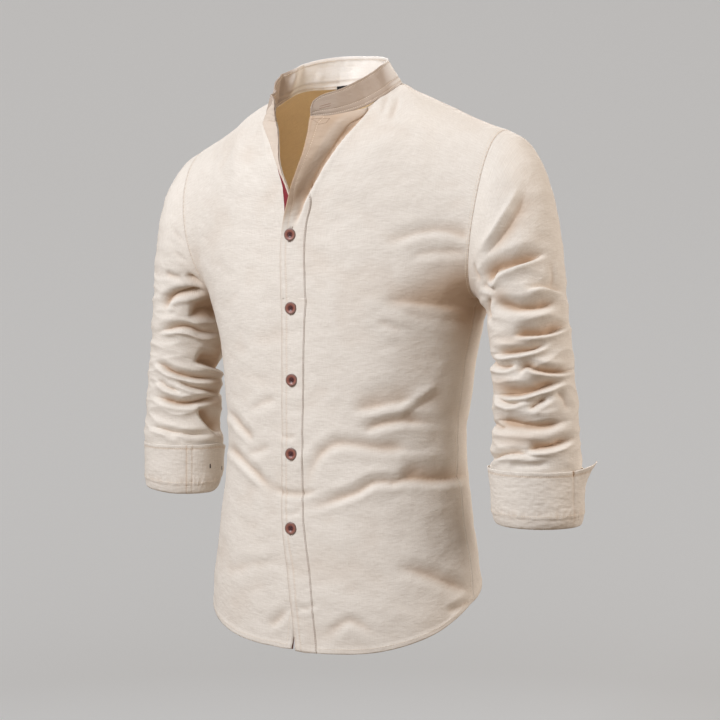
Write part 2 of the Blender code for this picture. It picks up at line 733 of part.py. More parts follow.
def make_collar():
    on_neck = [c for c in FRONT_COLUMNS if c <= NECK_SHARE]
    front = [1 - (1 - SHOULDER_AT) * c / NECK_SHARE for c in reversed(on_neck)]
    back = spaced((0, SHOULDER_AT), (BACK_NECK_COLUMNS,))
    half = back + front[1:]
    columns = [-c for c in half[:0:-1]] + half
    wall("collar_band", columns, spaced((0, 1), (4,)), collar_surface)


def lifted(point, steps):
    """Cloth moved out from the body, or in where steps is negative, by a number of layers."""
    return point + outward(point) * LAYER_STEP * steps


def make_placket():
    columns = [c for c in FRONT_COLUMNS if c <= PLACKET_SHARE]

    def surface(across, up):
        return lifted(creased(front_surface(across, up, 1), "left"), 1)

    wall("placket_left", columns, [*panel_rows()[:-1], PLACKET_TOP], surface)


def make_tape():
    rows = [up for up in panel_rows() if up <= TAPE_TOP]
    start, end = TAPE_EDGES

    def surface(across, up):
        narrow = 1 - 0.8 * ease(up, TAPE_TOP - 0.12, TAPE_TOP)
        share = start + (end - start) * across * narrow
        return lifted(creased(front_surface(share, up, -1), "right"), TAPE_LIFT)

    wall("front_tape", [0, 1], rows, surface, "tape", TAPE_THICKNESS)


def make_label():
    step = BACK_NECK_SHARE / BACK_NECK_COLUMNS
    rows = [1 - YOKE_SHARE / YOKE_ROWS, 1 - 0.05 * YOKE_SHARE / YOKE_ROWS]

    def surface(across, up):
        return lifted(creased(back_surface(across, up)), -0.95)

    columns = [k * step for k in range(-3, 2)]
    wall("neck_label", columns, rows, surface, "label", LABEL_THICKNESS)


def disc(name, place, normal, radius):
    """A round button with a raised rim and a small dished middle, its back face towards the cloth."""
    bm = bmesh.new()
    half = BUTTON_THICKNESS / 2
    bmesh.ops.create_circle(
        bm, cap_ends=True, radius=radius, segments=BUTTON_SIDES
    )
    bmesh.ops.translate(bm, verts=bm.verts, vec=(0, 0, -half))
    top = bmesh.ops.extrude_face_region(bm, geom=bm.faces[:])["geom"]
    lifted_verts = [g for g in top if isinstance(g, bmesh.types.BMVert)]
    bmesh.ops.translate(bm, verts=lifted_verts, vec=(0, 0, BUTTON_THICKNESS))
    face = next(g for g in top if isinstance(g, bmesh.types.BMFace))
    bmesh.ops.inset_region(bm, faces=[face], thickness=radius * 0.32)
    bmesh.ops.inset_region(bm, faces=[face], thickness=radius * 0.14, depth=-half * 0.7)
    bmesh.ops.recalc_face_normals(bm, faces=bm.faces)
    obj = finish(name, bm, "button")
    obj.rotation_euler = Vector(normal).to_track_quat("Z", "Y").to_euler()
    obj.location = Vector(place)


def make_buttons():
    seat = LAYER_STEP + WALL / 2 + BUTTON_THICKNESS / 2 + SEAM_GAP + 0.0001
    across, up = np.meshgrid(np.linspace(0, PLACKET_SHARE, 41), np.linspace(0, 1, 801))
    area = creased(front_surface(across.ravel(), up.ravel(), 1), "left")
    for k in range(BUTTON_COUNT):
        height = BUTTON_TOP - k * BUTTON_PITCH
        off = np.hypot(area[:, 0] - BUTTON_X, area[:, 2] - height)
        point = area[np.argmin(off)]
        way = outward(point)
        disc(f"button_{k + 1}", point + way * seat, way, BUTTON_RADIUS)


def clear():
    for obj in list(bpy.data.objects):
        bpy.data.objects.remove(obj)


def main():
    clear()
    make_fronts()
    make_back()
    make_sleeves()
    make_cuffs()
    make_collar()
    make_placket()
    make_tape()
    make_label()
    make_buttons()


main()
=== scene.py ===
"""The looks of a worn band-collar linen shirt: cloth with its creases, sewing and buttons.

Metres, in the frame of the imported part: +Z up, the front faces -Y and the wearer's left is +X.
"""

import math
from collections import namedtuple

import bmesh
import bpy
import numpy as np
from mathutils import Matrix, Vector, noise


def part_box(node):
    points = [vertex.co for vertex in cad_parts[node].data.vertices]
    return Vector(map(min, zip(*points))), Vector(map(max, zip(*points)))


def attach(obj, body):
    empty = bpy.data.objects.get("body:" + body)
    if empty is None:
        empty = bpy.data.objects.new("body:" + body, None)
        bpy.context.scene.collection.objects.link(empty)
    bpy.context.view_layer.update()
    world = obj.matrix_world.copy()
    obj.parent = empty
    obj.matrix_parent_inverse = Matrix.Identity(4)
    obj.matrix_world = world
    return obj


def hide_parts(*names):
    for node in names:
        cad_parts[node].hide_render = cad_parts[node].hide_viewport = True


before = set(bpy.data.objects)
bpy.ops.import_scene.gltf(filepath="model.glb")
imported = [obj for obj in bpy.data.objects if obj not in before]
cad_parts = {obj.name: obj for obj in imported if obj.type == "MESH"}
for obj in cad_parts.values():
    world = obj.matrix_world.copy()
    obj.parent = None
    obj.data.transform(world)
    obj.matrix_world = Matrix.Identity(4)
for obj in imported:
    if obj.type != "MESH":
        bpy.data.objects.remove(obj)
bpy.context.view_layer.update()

# ==== the camera, as the photograph was taken
IMAGE = 720
VIEW_TURN = math.radians(34)
VIEW_DISTANCE = 2.0
SENSOR = 36.0
LENS = 76.0
FOCAL = LENS / SENSOR * IMAGE
EYE_HEIGHT = -0.26
EYE_ASIDE = 0.018
HORIZON = 285  # the image row that is level with the eye
AHEAD = np.array([-math.sin(VIEW_TURN), math.cos(VIEW_TURN), 0.0])
ASIDE = np.array([math.cos(VIEW_TURN), math.sin(VIEW_TURN), 0.0])
EYE = ASIDE * EYE_ASIDE - AHEAD * VIEW_DISTANCE + np.array([0, 0, EYE_HEIGHT])


def rows_of(kind, *rows):
    """A table whose rows are all of one kind."""
    return tuple(kind(*row) for row in rows)


# ==== cloth
WALL = 0.0010
LAYER = 0.0013  # from the middle of one layer to the middle of the next
RIGHT_TUCK = 0.0038
THIN_WALL = 0.0006  # of the tape and the label
FULLNESS = 2.2  # of a level section: 2 is an ellipse, more is squarer
ROUND_OVER = 2.2  # of the chest where it turns back to the shoulder

# ---- body, one row for each level section
Section = namedtuple("Section", "height half_width front back")
BODY = rows_of(
    Section,
    (-0.745, 0.192, 0.123, 0.108),
    (-0.661, 0.193, 0.123, 0.108),
    (-0.602, 0.186, 0.121, 0.108),
    (-0.540, 0.176, 0.119, 0.108),
    (-0.450, 0.168, 0.118, 0.109),
    (-0.389, 0.175, 0.118, 0.117),
    (-0.315, 0.189, 0.119, 0.124),
    (-0.276, 0.203, 0.120, 0.126),
)
UNDERARM = -0.276
HALF_X, HALF_Y = 0.19, 0.12
LIFT_WAY = 12  # how steeply outward turns up over the shoulders
Hem = namedtuple("Hem", "turn height")
HEM = rows_of(
    Hem,
    (0, -0.716),
    (30, -0.708),
    (60, -0.686),
    (90, -0.653),
    (115, -0.640),
    (150, -0.690),
    (166, -0.7115),
    (180, -0.7170),
)
HEM_WIDTH = 0.007
HEM_STEP = 0.001
HEM_RISE = 0.0007
HEM_STITCHES = 0.0085

# ---- front edges: the left front laps over the right
Edge = namedtuple("Edge", "height x depth")
LEFT_EDGE = rows_of(
    Edge,
    (-0.720, 0.010, 0.122),
    (-0.640, -0.002, 0.121),
    (-0.560, -0.0150, 0.119),
    (-0.450, -0.0165, 0.118),
    (-0.276, -0.0165, 0.120),
    (-0.200, -0.0155, 0.121),
    (-0.139, 0.0005, 0.122),
    (-0.095, 0.0165, 0.117),
    (-0.051, 0.0200, 0.107),
)
RIGHT_EDGE = rows_of(
    Edge,
    (-0.720, -0.0010, 0.120),
    (-0.640, 0.0110, 0.120),
    (-0.560, 0.0165, 0.118),
    (-0.450, 0.0165, 0.118),
    (-0.276, 0.0165, 0.120),
    (-0.200, 0.0120, 0.120),
    (-0.139, -0.0090, 0.119),
    (-0.095, -0.0330, 0.112),
    (-0.051, -0.0560, 0.099),
)
NECK_PIT = -0.051

# ---- neck seam from the centre back (0) by the shoulder to the front end (1)
Neck = namedtuple("Neck", "along x y z")
LEFT_NECK = rows_of(
    Neck,
    (0.00, 0.000, 0.064, 0.010),
    (0.20, 0.046, 0.048, 0.006),
    (0.40, 0.078, 0.010, 0.000),
    (0.57, 0.079, -0.028, -0.018),
    (0.74, 0.067, -0.066, -0.038),
    (0.88, 0.045, -0.094, -0.049),
    (1.00, 0.020, -0.107, -0.051),
)
RIGHT_NECK = rows_of(
    Neck,
    (0.00, 0.000, 0.064, 0.010),
    (0.20, -0.046, 0.048, 0.006),
    (0.40, -0.078, 0.010, 0.000),
    (0.57, -0.084, -0.026, -0.017),
    (0.74, -0.083, -0.055, -0.034),
    (0.88, -0.073, -0.080, -0.046),
    (1.00, -0.056, -0.099, -0.051),
)
SHOULDER_AT = 0.40
BACK_ROUND = 0.16
NECK_SPREAD = 0.026
SHOULDER_SLOPE = 0.44
CORNER_ROUNDING = 0.12
CURL = (0.008, 0.011, 0.001)
CURL_SHARE = 0.05
CURL_LOW, CURL_HIGH = -0.125, -0.058
CURL_POWER = 1.3
NECK_SHARE = 0.40
BACK_NECK_SHARE = 0.34
YOKE_SHARE = 11 / 31

# ---- armhole seam
SHOULDER_POINT = (0.236, 0.010, -0.070)
ARMPIT_X = 0.203
ARMPIT_POINT = (ARMPIT_X, 0.000, UNDERARM)
ARMHOLE_FRONT = 0.066
ARMHOLE_BACK = 0.062
ARMHOLE_BOW = 0.008
ARMHOLE_POWER = 0.9
SHOULDER_SAG = 0.003
SIDE_PULL = 2.5

# ---- sleeve, one row for each ring from the armhole (0) to the end inside the cuff (1)
Ring = namedtuple("Ring", "along outer_x outer_z inner_x inner_z front back")
SLEEVE = rows_of(
    Ring,
    (0.00, 0.236, -0.070, 0.203, -0.276, 0.066, 0.062),
    (0.05, 0.256, -0.081, 0.210, -0.280, 0.068, 0.064),
    (0.10, 0.275, -0.104, 0.216, -0.287, 0.068, 0.065),
    (0.16, 0.290, -0.136, 0.221, -0.297, 0.066, 0.064),
    (0.24, 0.302, -0.188, 0.224, -0.309, 0.063, 0.062),
    (0.36, 0.311, -0.262, 0.225, -0.326, 0.059, 0.059),
    (0.50, 0.319, -0.333, 0.227, -0.356, 0.055, 0.056),
    (0.66, 0.327, -0.392, 0.228, -0.402, 0.053, 0.054),
    (0.80, 0.331, -0.442, 0.228, -0.445, 0.053, 0.053),
    (0.88, 0.331, -0.473, 0.227, -0.474, 0.0515, 0.0515),
    (0.92, 0.330, -0.490, 0.2265, -0.490, 0.0505, 0.0505),
    (1.00, 0.3322, -0.548, 0.2238, -0.548, 0.0522, 0.0522),
)

# ---- collar band and cuffs
Band = namedtuple("Band", "along height lean")
LEFT_BAND = rows_of(
    Band,
    (0.00, 0.0390, 0.006),
    (0.20, 0.0340, 0.014),
    (0.40, 0.0290, 0.021),
    (0.57, 0.0340, 0.016),
    (0.74, 0.0355, 0.010),
    (0.88, 0.0300, 0.006),
    (1.00, 0.0270, 0.003),
)
RIGHT_BAND = rows_of(
    Band,
    (0.00, 0.0390, 0.006),
    (0.20, 0.0430, 0.006),
    (0.40, 0.0380, 0.008),
    (0.60, 0.0390, 0.003),
    (0.80, 0.0380, 0.010),
    (0.88, 0.0365, 0.013),
    (0.94, 0.0340, 0.006),
    (1.00, 0.0310, -0.002),
)
COLLAR_END_ROUND = (0.022, 0.010)
Dent = namedtuple("Dent", "along width up reach depth")
COLLAR_DENTS = rows_of(
    Dent,
    (-0.50, 0.030, 0.55, 0.50, -0.0040),
    (-0.60, 0.026, 0.60, 0.60, 0.0042),
    (-0.43, 0.030, 0.80, 0.30, 0.0022),
    (-0.30, 0.050, 0.35, 0.30, -0.0016),
    (-0.12, 0.050, 0.60, 0.30, 0.0016),
    (0.12, 0.060, 0.40, 0.30, -0.0014),
    (0.50, 0.050, 0.50, 0.60, -0.0016),
    (0.60, 0.030, 0.60, 0.60, 0.0014),
    (0.72, 0.030, 0.45, 0.50, -0.0016),
    (0.86, 0.030, 0.60, 0.40, 0.0010),
    (-0.88, 0.040, 0.60, 0.60, -0.0016),
)
COLLAR_WALL = 0.0018
COLLAR_STITCHES = (0.08, 0.26, 0.90)
COLLAR_CENTRE = (0, -0.02)
CUFF_TOP = -0.481
CUFF_BOTTOM = -0.549
CUFF_CENTRE_X = 0.278
CUFF_RADIUS_X = 0.0560
CUFF_RADIUS_Y = 0.0540
CUFF_ROUND = 2 * math.pi + 0.286
CUFF_TAPER = 0.0026
CUFF_FOLD_ROUND = 0.0036
CUFF_HEM = 0.935
CUFF_SEAM = 0.20
CUFF_SPLIT = 224
CUFF_BEND = 0.20
CUFF_STEP = 2 * math.pi / 22
CUFF_ENDS = {1: (-2 * CUFF_STEP, 0.015), -1: (8 * CUFF_STEP, 0.0)}

# ---- trims
PLACKET_SHARE = 0.093
PLACKET_OUTER_STITCHES, PLACKET_INNER_STITCHES = 0.26, 0.95
# beside the open neck the strip's inner edge runs along the bottom of the long valley
Strip = namedtuple("Strip", "height share")
PLACKET_STRIP = rows_of(
    Strip,
    (-0.720, 0.093),
    (-0.250, 0.090),
    (-0.183, 0.086),
    (-0.157, 0.085),
    (-0.137, 0.062),
    (-0.130, 0.060),
    (-0.1165, 0.067),
    (-0.104, 0.074),
    (-0.088, 0.090),
    (-0.072, 0.109),
    (-0.058, 0.143),
    (-0.051, 0.200),
)
TAPE_EDGES = (0.008, 0.054)
TAPE_TOP = 0.88
SLIT_TOP = -0.60
TURNED_LOW = 0.80
TURNED_NARROW, TURNED_WIDE = 0.004, 0.054
COLLAR_ROWS = 0.12
SLIT_SHOW = 0.004
BUTTON_RADIUS = 0.0079
BUTTON_GAP = 0.0009
HOLE_ASIDE, HOLE_RADIUS = 0.0013, 0.0007
STRAND = (0.0040, 0.0009, 0.0008, 1)  # the thread between two holes
BUTTONHOLE_HALF = 0.0075
BODY_CUT = (0.31, 0.74)


# ==== curves and small maths
def cubic(values, slopes, span, i, t):
    """A smooth curve through values with these slopes, at share t of the stretch after value i."""
    rise = (3 - 2 * t) * t * t
    lift = span * t * (1 - t)
    return (
        values[i] * (1 - rise)
        + values[i + 1] * rise
        + lift * ((1 - t) * slopes[i] - t * slopes[i + 1])
    )


def smooth(rows, column, at, key=0):
    """A column of a table read at any key, on a smooth curve through its rows."""
    keys = np.array([row[key] for row in rows], float)
    values = np.array([getattr(row, column) for row in rows], float)
    if keys[0] > keys[-1]:
        keys, values = keys[::-1], values[::-1]
    slopes = np.gradient(values, keys)
    at = np.clip(np.asarray(at, float), keys[0], keys[-1])
    i = np.clip(np.searchsorted(keys, at, side="right") - 1, 0, len(keys) - 2)
    span = keys[i + 1] - keys[i]
    return cubic(values, slopes, span, i, (at - keys[i]) / span)


def ease(x, low, high):
    """0 below low, 1 above high and a smooth step between them."""
    t = np.clip((np.asarray(x, float) - low) / (high - low), 0, 1)
    return t * t * (3 - 2 * t)


def power(value, exponent):
    return np.sign(value) * np.abs(value) ** exponent


def unit(way):
    return way / np.linalg.norm(way, axis=-1, keepdims=True)


# ==== the forms of the body's panels, as in the solids
def body_section(turn, height):
    """A point of the body at a turn in radians and a height."""
    half = smooth(BODY, "half_width", height)
    front = smooth(BODY, "front", height)
    back = smooth(BODY, "back", height)
    across, along = np.sin(turn), np.cos(turn)
    depth = np.where(along > 0, front, back)
    x = half * power(across, 2 / FULLNESS)
    y = -depth * power(along, 2 / FULLNESS)
    return np.stack([x, y, height + 0 * x], -1)


def edge_turn(x, height):
    """The turn at which a body section has this x, near the centre front."""
    return np.arcsin(power(x / smooth(BODY, "half_width", height), FULLNESS / 2))


def hem_height(turn):
    return smooth(HEM, "height", np.abs(np.degrees(turn)))


def armhole(angle, side):
    """A point of the armhole seam: 0 at the shoulder, a quarter turn in front, half underarm."""
    top, bottom = np.array(SHOULDER_POINT), np.array(ARMPIT_POINT)
    middle, half = (top + bottom) / 2, (top - bottom) / 2
    point = middle + half * np.cos(angle)[..., None]
    across = np.sin(angle)
    point[..., 0] += ARMHOLE_BOW * across**2
    reach = np.where(across > 0, ARMHOLE_FRONT, ARMHOLE_BACK)
    point[..., 1] -= reach * power(across, ARMHOLE_POWER)
    point[..., 0] *= side
    return point


def rounded_back(along):
    """The share along the neck, flattened off towards the centre back."""
    return np.where(along < BACK_ROUND, (along**2 / BACK_ROUND + BACK_ROUND) / 2, along)


def neck_seam(along, side):
    rows = LEFT_NECK if side > 0 else RIGHT_NECK
    level = rounded_back(along)
    x, y, z = smooth(rows, "x", along), smooth(rows, "y", level), smooth(rows, "z", level)
    return np.stack([x, y, z], -1)


def shoulder_seam(along, side):
    """From the neck (0) to the shoulder point (1)."""
    start = neck_seam(np.full_like(along, SHOULDER_AT), side)
    end = np.array(SHOULDER_POINT) * (side, 1, 1)
    point = start + (end - start) * along[..., None]
    point[..., 2] -= SHOULDER_SAG * np.sin(math.pi * along)
    return point


def climb(s):
    """Share of the height climbed at a row of the yoke, slow at the underarm and the shoulder."""
    return (1 - np.cos(math.pi * s)) / 2


def round_over(s):
    """How far the chest has turned back over the shoulder."""
    return 1 - np.sqrt(np.clip(1 - climb(s) ** ROUND_OVER, 0, 1))


def skirt_and_yoke(up):
    skirt = np.clip(up / (1 - YOKE_SHARE), 0, 1)
    yoke = np.clip((up - 1 + YOKE_SHARE) / YOKE_SHARE, 0, 1)
    return skirt, yoke


def front_surface(across, up, side):
    """across runs from the front edge (0) to the side or armhole (1), up from hem to top."""
    edge = LEFT_EDGE if side > 0 else RIGHT_EDGE
    skirt, yoke = skirt_and_yoke(up)
    at_underarm = np.full_like(up, UNDERARM)
    first_turn = edge_turn(side * smooth(edge, "x", at_underarm), UNDERARM)
    turn = first_turn + (math.pi / 2 - first_turn) * across
    hem = hem_height(turn)
    height = hem + (UNDERARM - hem) * skirt
    first_turn = edge_turn(side * smooth(edge, "x", height), height)
    turn = first_turn + (math.pi / 2 - first_turn) * across
    low = body_section(turn, height) * (side, 1, 1)

    rise = climb(yoke)
    width = np.minimum(across, 1 - across)
    width = np.minimum(width, CORNER_ROUNDING * np.sqrt(1 - rise**ROUND_OVER))
    offsets, weights = (-1, -0.5, 0, 0.5, 1), (1, 2, 3, 2, 1)
    top = sum(w * front_top(across + k * width, side) for k, w in zip(offsets, weights))
    top = top / sum(weights)
    rounded = armhole_turn(yoke, 1)
    turn = first_turn + (math.pi / 2 - first_turn) * across
    turn = turn + (rounded - math.pi / 2) * across**SIDE_PULL
    base = body_section(turn, np.full_like(turn, UNDERARM)) * (side, 1, 1)
    high = yoke_surface(base, top, edge_line(yoke, side), across, yoke, side, 1)
    spread = ease(across, 0.02, 0.30) * (1 - ease(across, 0.36, 0.72))
    swing = 3 * rise**3 * np.sqrt(1 - rise**ROUND_OVER) * spread
    high[..., 0] += side * NECK_SPREAD * swing
    high[..., 2] -= SHOULDER_SLOPE * NECK_SPREAD * swing
    point = np.where((yoke > 0)[..., None], high, low)
    if side < 0:
        point = point + curl(across / CURL_SHARE, point[..., 2])
    return point


def front_top(across, side):
    """The top line of a front: the neck seam from the front end, then the shoulder seam."""
    to_neck = 1 - (1 - SHOULDER_AT) * np.clip(across / NECK_SHARE, 0, 1)
    to_shoulder = np.clip((across - NECK_SHARE) / (1 - NECK_SHARE), 0, 1)
    return np.where(
        (across < NECK_SHARE)[..., None],
        neck_seam(to_neck, side),
        shoulder_seam(to_shoulder, side),
    )


def curl(share, height):
    """How the right front's cloth turns back near its edge: share is 0 there, 1 at the bend."""
    bend = np.clip(1 - share, 0, 1) * ease(height, CURL_LOW, CURL_HIGH) ** CURL_POWER
    return bend[..., None] * np.array(CURL)


def armhole_turn(yoke, facing):
    """The turn at which the underarm section is as deep as the armhole is at this row."""
    seam = armhole(math.pi * (1 - yoke) * facing, 1)
    depth = BODY[-1].front if facing > 0 else BODY[-1].back
    return np.arccos(power(np.clip(-seam[..., 1] / depth, -1, 1), FULLNESS / 2))


def edge_line(yoke, side):
    """The front edge from the underarm's height up to the neck pit."""
    edge = LEFT_EDGE if side > 0 else RIGHT_EDGE
    height = UNDERARM + (NECK_PIT - UNDERARM) * climb(yoke)
    x, depth = smooth(edge, "x", height), smooth(edge, "depth", height)
    return np.stack([x, -depth, height], -1)


def yoke_surface(low, top, inner_line, across, yoke, side, facing):
    """The chest or upper back, between the underarm section, the top seams and the armhole."""
    share = np.stack([round_over(yoke), round_over(yoke), climb(yoke)], -1)

    def between(a, b):
        return a + (b - a) * share

    outer_line = armhole(math.pi * (1 - yoke) * facing, side)
    top_end = np.array(SHOULDER_POINT) * (side, 1, 1)
    end_turn = armhole_turn(yoke, facing)
    low_end = body_section(end_turn, np.full_like(end_turn, UNDERARM)) * (side, 1, 1)
    fix = outer_line - between(low_end, top_end)
    point = between(low, top) + fix * (across**SIDE_PULL)[..., None]
    if inner_line is not None:
        low_start = edge_line(np.zeros_like(yoke), side)
        top_start = edge_line(np.ones_like(yoke), side)
        fix = inner_line - between(low_start, top_start)
        point = point + fix * (1 - across)[..., None]
    return point


def back_surface(across, up):
    """across runs from the right side (-1) by the centre back (0) to the left side (1)."""
    side = np.where(across < 0, -1.0, 1.0)
    skirt, yoke = skirt_and_yoke(up)
    share = np.abs(across)
    turn = math.pi - share * math.pi / 2
    hem = hem_height(turn)
    height = hem + (UNDERARM - hem) * skirt
    low = body_section(turn, height)
    to_neck = SHOULDER_AT * np.clip(share / BACK_NECK_SHARE, 0, 1)
    to_shoulder = np.clip((share - BACK_NECK_SHARE) / (1 - BACK_NECK_SHARE), 0, 1)
    top = np.where(
        (share < BACK_NECK_SHARE)[..., None],
        neck_seam(to_neck, 1),
        shoulder_seam(to_shoulder, 1),
    )
    rounded = armhole_turn(yoke, -1)
    turn = math.pi - share * math.pi / 2
    turn = turn + (rounded - math.pi / 2) * share**SIDE_PULL
    base = body_section(turn, np.full_like(turn, UNDERARM))
    high = yoke_surface(base, top, None, share, yoke, 1, -1)
    point = np.where((yoke > 0)[..., None], high, low)
    point[..., 0] *= side
    return point


# ==== creases
# A crease that the photograph shows runs through points of the image, each a column and a row,
# along the bottom of its trough. above and below are the widths of its two walls in pixels, each
# about 1.3 mm; below is also the right of a crease that rises. depth is the trough's, crest and
# lip are the rolls over it and under it, in millimetres. One that runs out into a seam keeps its
# depth to its last point.
Crease = namedtuple("Crease", "path above below depth crest lip runs_out", defaults=(False,))
BODY_CREASES = rows_of(
    Crease,
    ((294, 229, 299, 213, 304, 200, 309, 189, 314, 180, 320, 169, 326, 159, 335, 146, 344, 134,
      356, 121, 369, 107, 377, 99), 12, 2.6, 10.0, 0.0, 1.5),
    ((303, 206, 299, 213, 296, 222), 4, 3, 1.5, 0.5, 0.5),
    ((389, 92, 385, 103, 381, 114), 5, 5, 2.0, 0.5, 0.5),
    ((399, 95, 395, 107, 390, 120), 6, 6, 2.2, 0.5, 0.5),
    ((309, 509, 330, 502, 345, 497, 358, 492, 372, 484, 383, 482, 393, 483, 403, 480,
      416, 473), 11, 5, 5.0, 1.8, 1.6),
    ((398, 481, 414, 479, 432, 480, 450, 479, 470, 474), 24, 7, 7.0, 2.0, 1.2),
    ((307, 482, 312, 468, 320, 454, 332, 445, 345, 443, 360, 445, 380, 448, 395, 448, 412, 450,
      434, 451), 11, 7, 3.6, 0.9, 1.0),
    ((362, 432, 372, 427, 382, 424, 392, 422, 404, 421, 420, 422, 446, 425), 10, 6, 5.0, 1.5, 1.5),
    ((350, 409, 370, 407, 396, 402, 424, 399), 28, 7, 3.6, 0.5, 0.8),
    ((400, 420, 420, 406, 444, 390), 8, 16, 3.4, 2.0, 0.0),
    ((384, 242, 402, 238, 413, 234, 425, 231, 440, 230, 458, 233,
      476, 238), 12, 6, 2.8, 0.6, 1.6, True),
    ((409, 256, 425, 253, 442, 251, 476, 252), 7, 7, 1.8, 0.3, 0.8, True),
    ((384, 300, 405, 301, 425, 303, 445, 305, 480, 308), 26, 10, 4.4, 0.8, 1.2, True),
    ((388, 307, 405, 313, 420, 316, 436, 318, 460, 320, 480, 320), 9, 9, 2.2, 0.4, 0.9, True),
    ((377, 321, 390, 325, 404, 331), 7, 7, 1.8, 0.3, 0.6),
    ((228, 409, 236, 420, 244, 430, 255, 442), 8, 4, 3.6, 0.8, 2.0),
    ((227, 445, 240, 458, 255, 473, 271, 490), 9, 4, 4.2, 0.8, 2.0),
    ((249, 410, 262, 403, 277, 398), 8, 7, 2.0, 0.4, 0.6),
    ((246, 456, 258, 451, 272, 446), 8, 6, 2.0, 0.4, 0.6),
    ((278, 434, 288, 437, 298, 435), 4, 4, 1.2, 0.2, 0.5),
    ((271, 488, 285, 493, 302, 494, 320, 490), 6, 4, 2.4, 0.3, 1.0),
    ((283, 513, 292, 514, 302, 511), 5, 4, 1.2, 0.2, 0.5),
    ((396, 566, 420, 573, 440, 580, 456, 586, 472, 592), 13, 9, 4.2, 1.2, 1.2),
    ((446, 612, 458, 607, 472, 600), 7, 5, 2.6, 1.4, 0.6),
    ((268, 628, 276, 620, 287, 608), 8, 6, 2.6, 0.4, 1.0),
    ((298, 607, 307, 608, 318, 603), 5, 4, 1.4, 0.2, 0.6),
    ((325, 635, 338, 626, 349, 621, 362, 626, 379, 635), 9, 8, 2.8, 0.4, 1.0),
    ((226, 573, 250, 564, 277, 562), 10, 9, 1.8, 0.4, 0.5),
)
LEFT_SLEEVE_CREASES = rows_of(
    Crease,
    ((481, 262, 495, 243, 509, 223, 519, 206, 527, 187), 8, 20, 5.0, 2.5, 0.0),
    ((484, 286, 490, 279, 495, 271, 510, 264, 530, 257, 548, 251), 15, 5, 10.0, 1.5, 3.0),
    ((474, 262, 476, 272, 480, 284), 4, 4, 3.5, 1.0, 1.0),
    ((481, 285, 488, 288, 497, 291), 4, 3, 4.0, 1.0, 1.5),
    ((526, 289, 540, 286, 552, 288, 566, 292), 12, 3, 3.0, 0.0, 2.5),
    ((551, 262, 553, 275, 552, 286), 4, 5, 2.0, 0.5, 0.5),
    ((492, 303, 505, 305, 520, 307, 535, 306, 548, 303, 559, 299), 11, 8, 9.0, 2.0, 1.0),
    ((490, 297, 488, 309, 491, 322), 4, 5, 5.0, 0.5, 2.0),
    ((513, 335, 525, 335, 540, 334, 555, 331, 569, 324), 16, 3, 10.0, 1.5, 3.0),
    ((492, 354, 505, 354, 520, 352, 535, 349, 547, 344), 9, 3, 7.5, 1.0, 3.0),
    ((488, 353, 494, 365, 505, 368, 517, 364), 8, 3, 5.5, 0.5, 2.0),
    ((518, 375, 526, 367, 537, 370, 550, 372, 563, 372, 575, 369), 9, 3, 8.5, 1.0, 3.0),
    ((494, 395, 519, 395, 542, 389, 564, 381), 16, 3, 11.0, 1.5, 3.0),
    ((496, 397, 503, 402, 512, 404, 523, 402), 6, 3, 5.0, 0.5, 2.0),
    ((529, 410, 538, 404, 549, 398), 10, 4, 6.0, 0.5, 1.5),
    ((556, 390, 564, 399, 569, 412), 7, 7, 3.0, 0.5, 0.5),
    ((491, 419, 505, 422, 520, 425, 540, 427, 555, 425, 568, 420), 13, 9, 9.0, 2.0, 1.0),
    ((491, 421, 497, 427, 504, 429), 4, 4, 3.0, 0.5, 1.0),
    ((527, 450, 540, 449, 557, 446, 575, 438), 15, 3, 9.0, 1.5, 2.5),
    ((490, 467, 495, 459, 504, 455, 518, 454, 537, 457), 8, 3, 6.5, 0.5, 3.0),
    ((509, 467, 528, 467, 550, 464), 6, 3, 4.0, 0.5, 1.5),
)
RIGHT_SLEEVE_CREASES = rows_of(
    Crease,
    ((181, 210, 187, 226, 194, 238, 203, 249), 10, 3, 5.0, 0.5, 2.0),
    ((172, 230, 187, 243, 203, 252), 4, 3, 3.0, 0.5, 1.0),
    ((174, 253, 181, 257, 188, 261), 4, 3, 1.5, 0.2, 0.5),
    ((185, 276, 197, 281, 211, 284), 8, 3, 6.0, 1.0, 2.0),
    ((165, 272, 173, 277, 184, 279), 6, 4, 3.0, 0.5, 0.5),
    ((165, 312, 168, 301, 175, 296, 185, 294, 195, 292, 204, 289), 9, 4, 8.0, 1.0, 2.0),
    ((188, 317, 200, 317, 210, 317, 222, 318), 22, 3, 12.0, 0.5, 2.5),
    ((158, 332, 170, 329, 182, 328, 192, 330, 203, 334, 223, 333), 8, 3, 7.0, 1.5, 3.0),
    ((194, 361, 205, 364, 216, 367, 228, 370), 19, 3, 12.0, 0.5, 2.0),
    ((156, 361, 167, 370, 183, 376, 200, 379, 222, 378), 8, 3, 8.0, 1.5, 2.5),
    ((176, 381, 190, 387, 205, 390, 226, 393), 7, 3, 6.0, 0.5, 2.5),
    ((157, 379, 167, 387, 180, 392), 5, 3, 4.0, 0.5, 1.5),
    ((155, 396, 170, 402, 186, 404, 203, 401, 221, 394), 8, 4, 8.0, 1.5, 2.0),
    ((198, 406, 204, 417, 212, 427, 221, 434), 17, 4, 9.0, 0.5, 1.5),
    ((151, 426, 165, 430, 178, 433, 195, 435, 212, 434), 6, 3, 5.5, 1.0, 2.0),
    ((166, 433, 176, 437, 186, 441), 4, 3, 3.0, 0.5, 1.0),
)
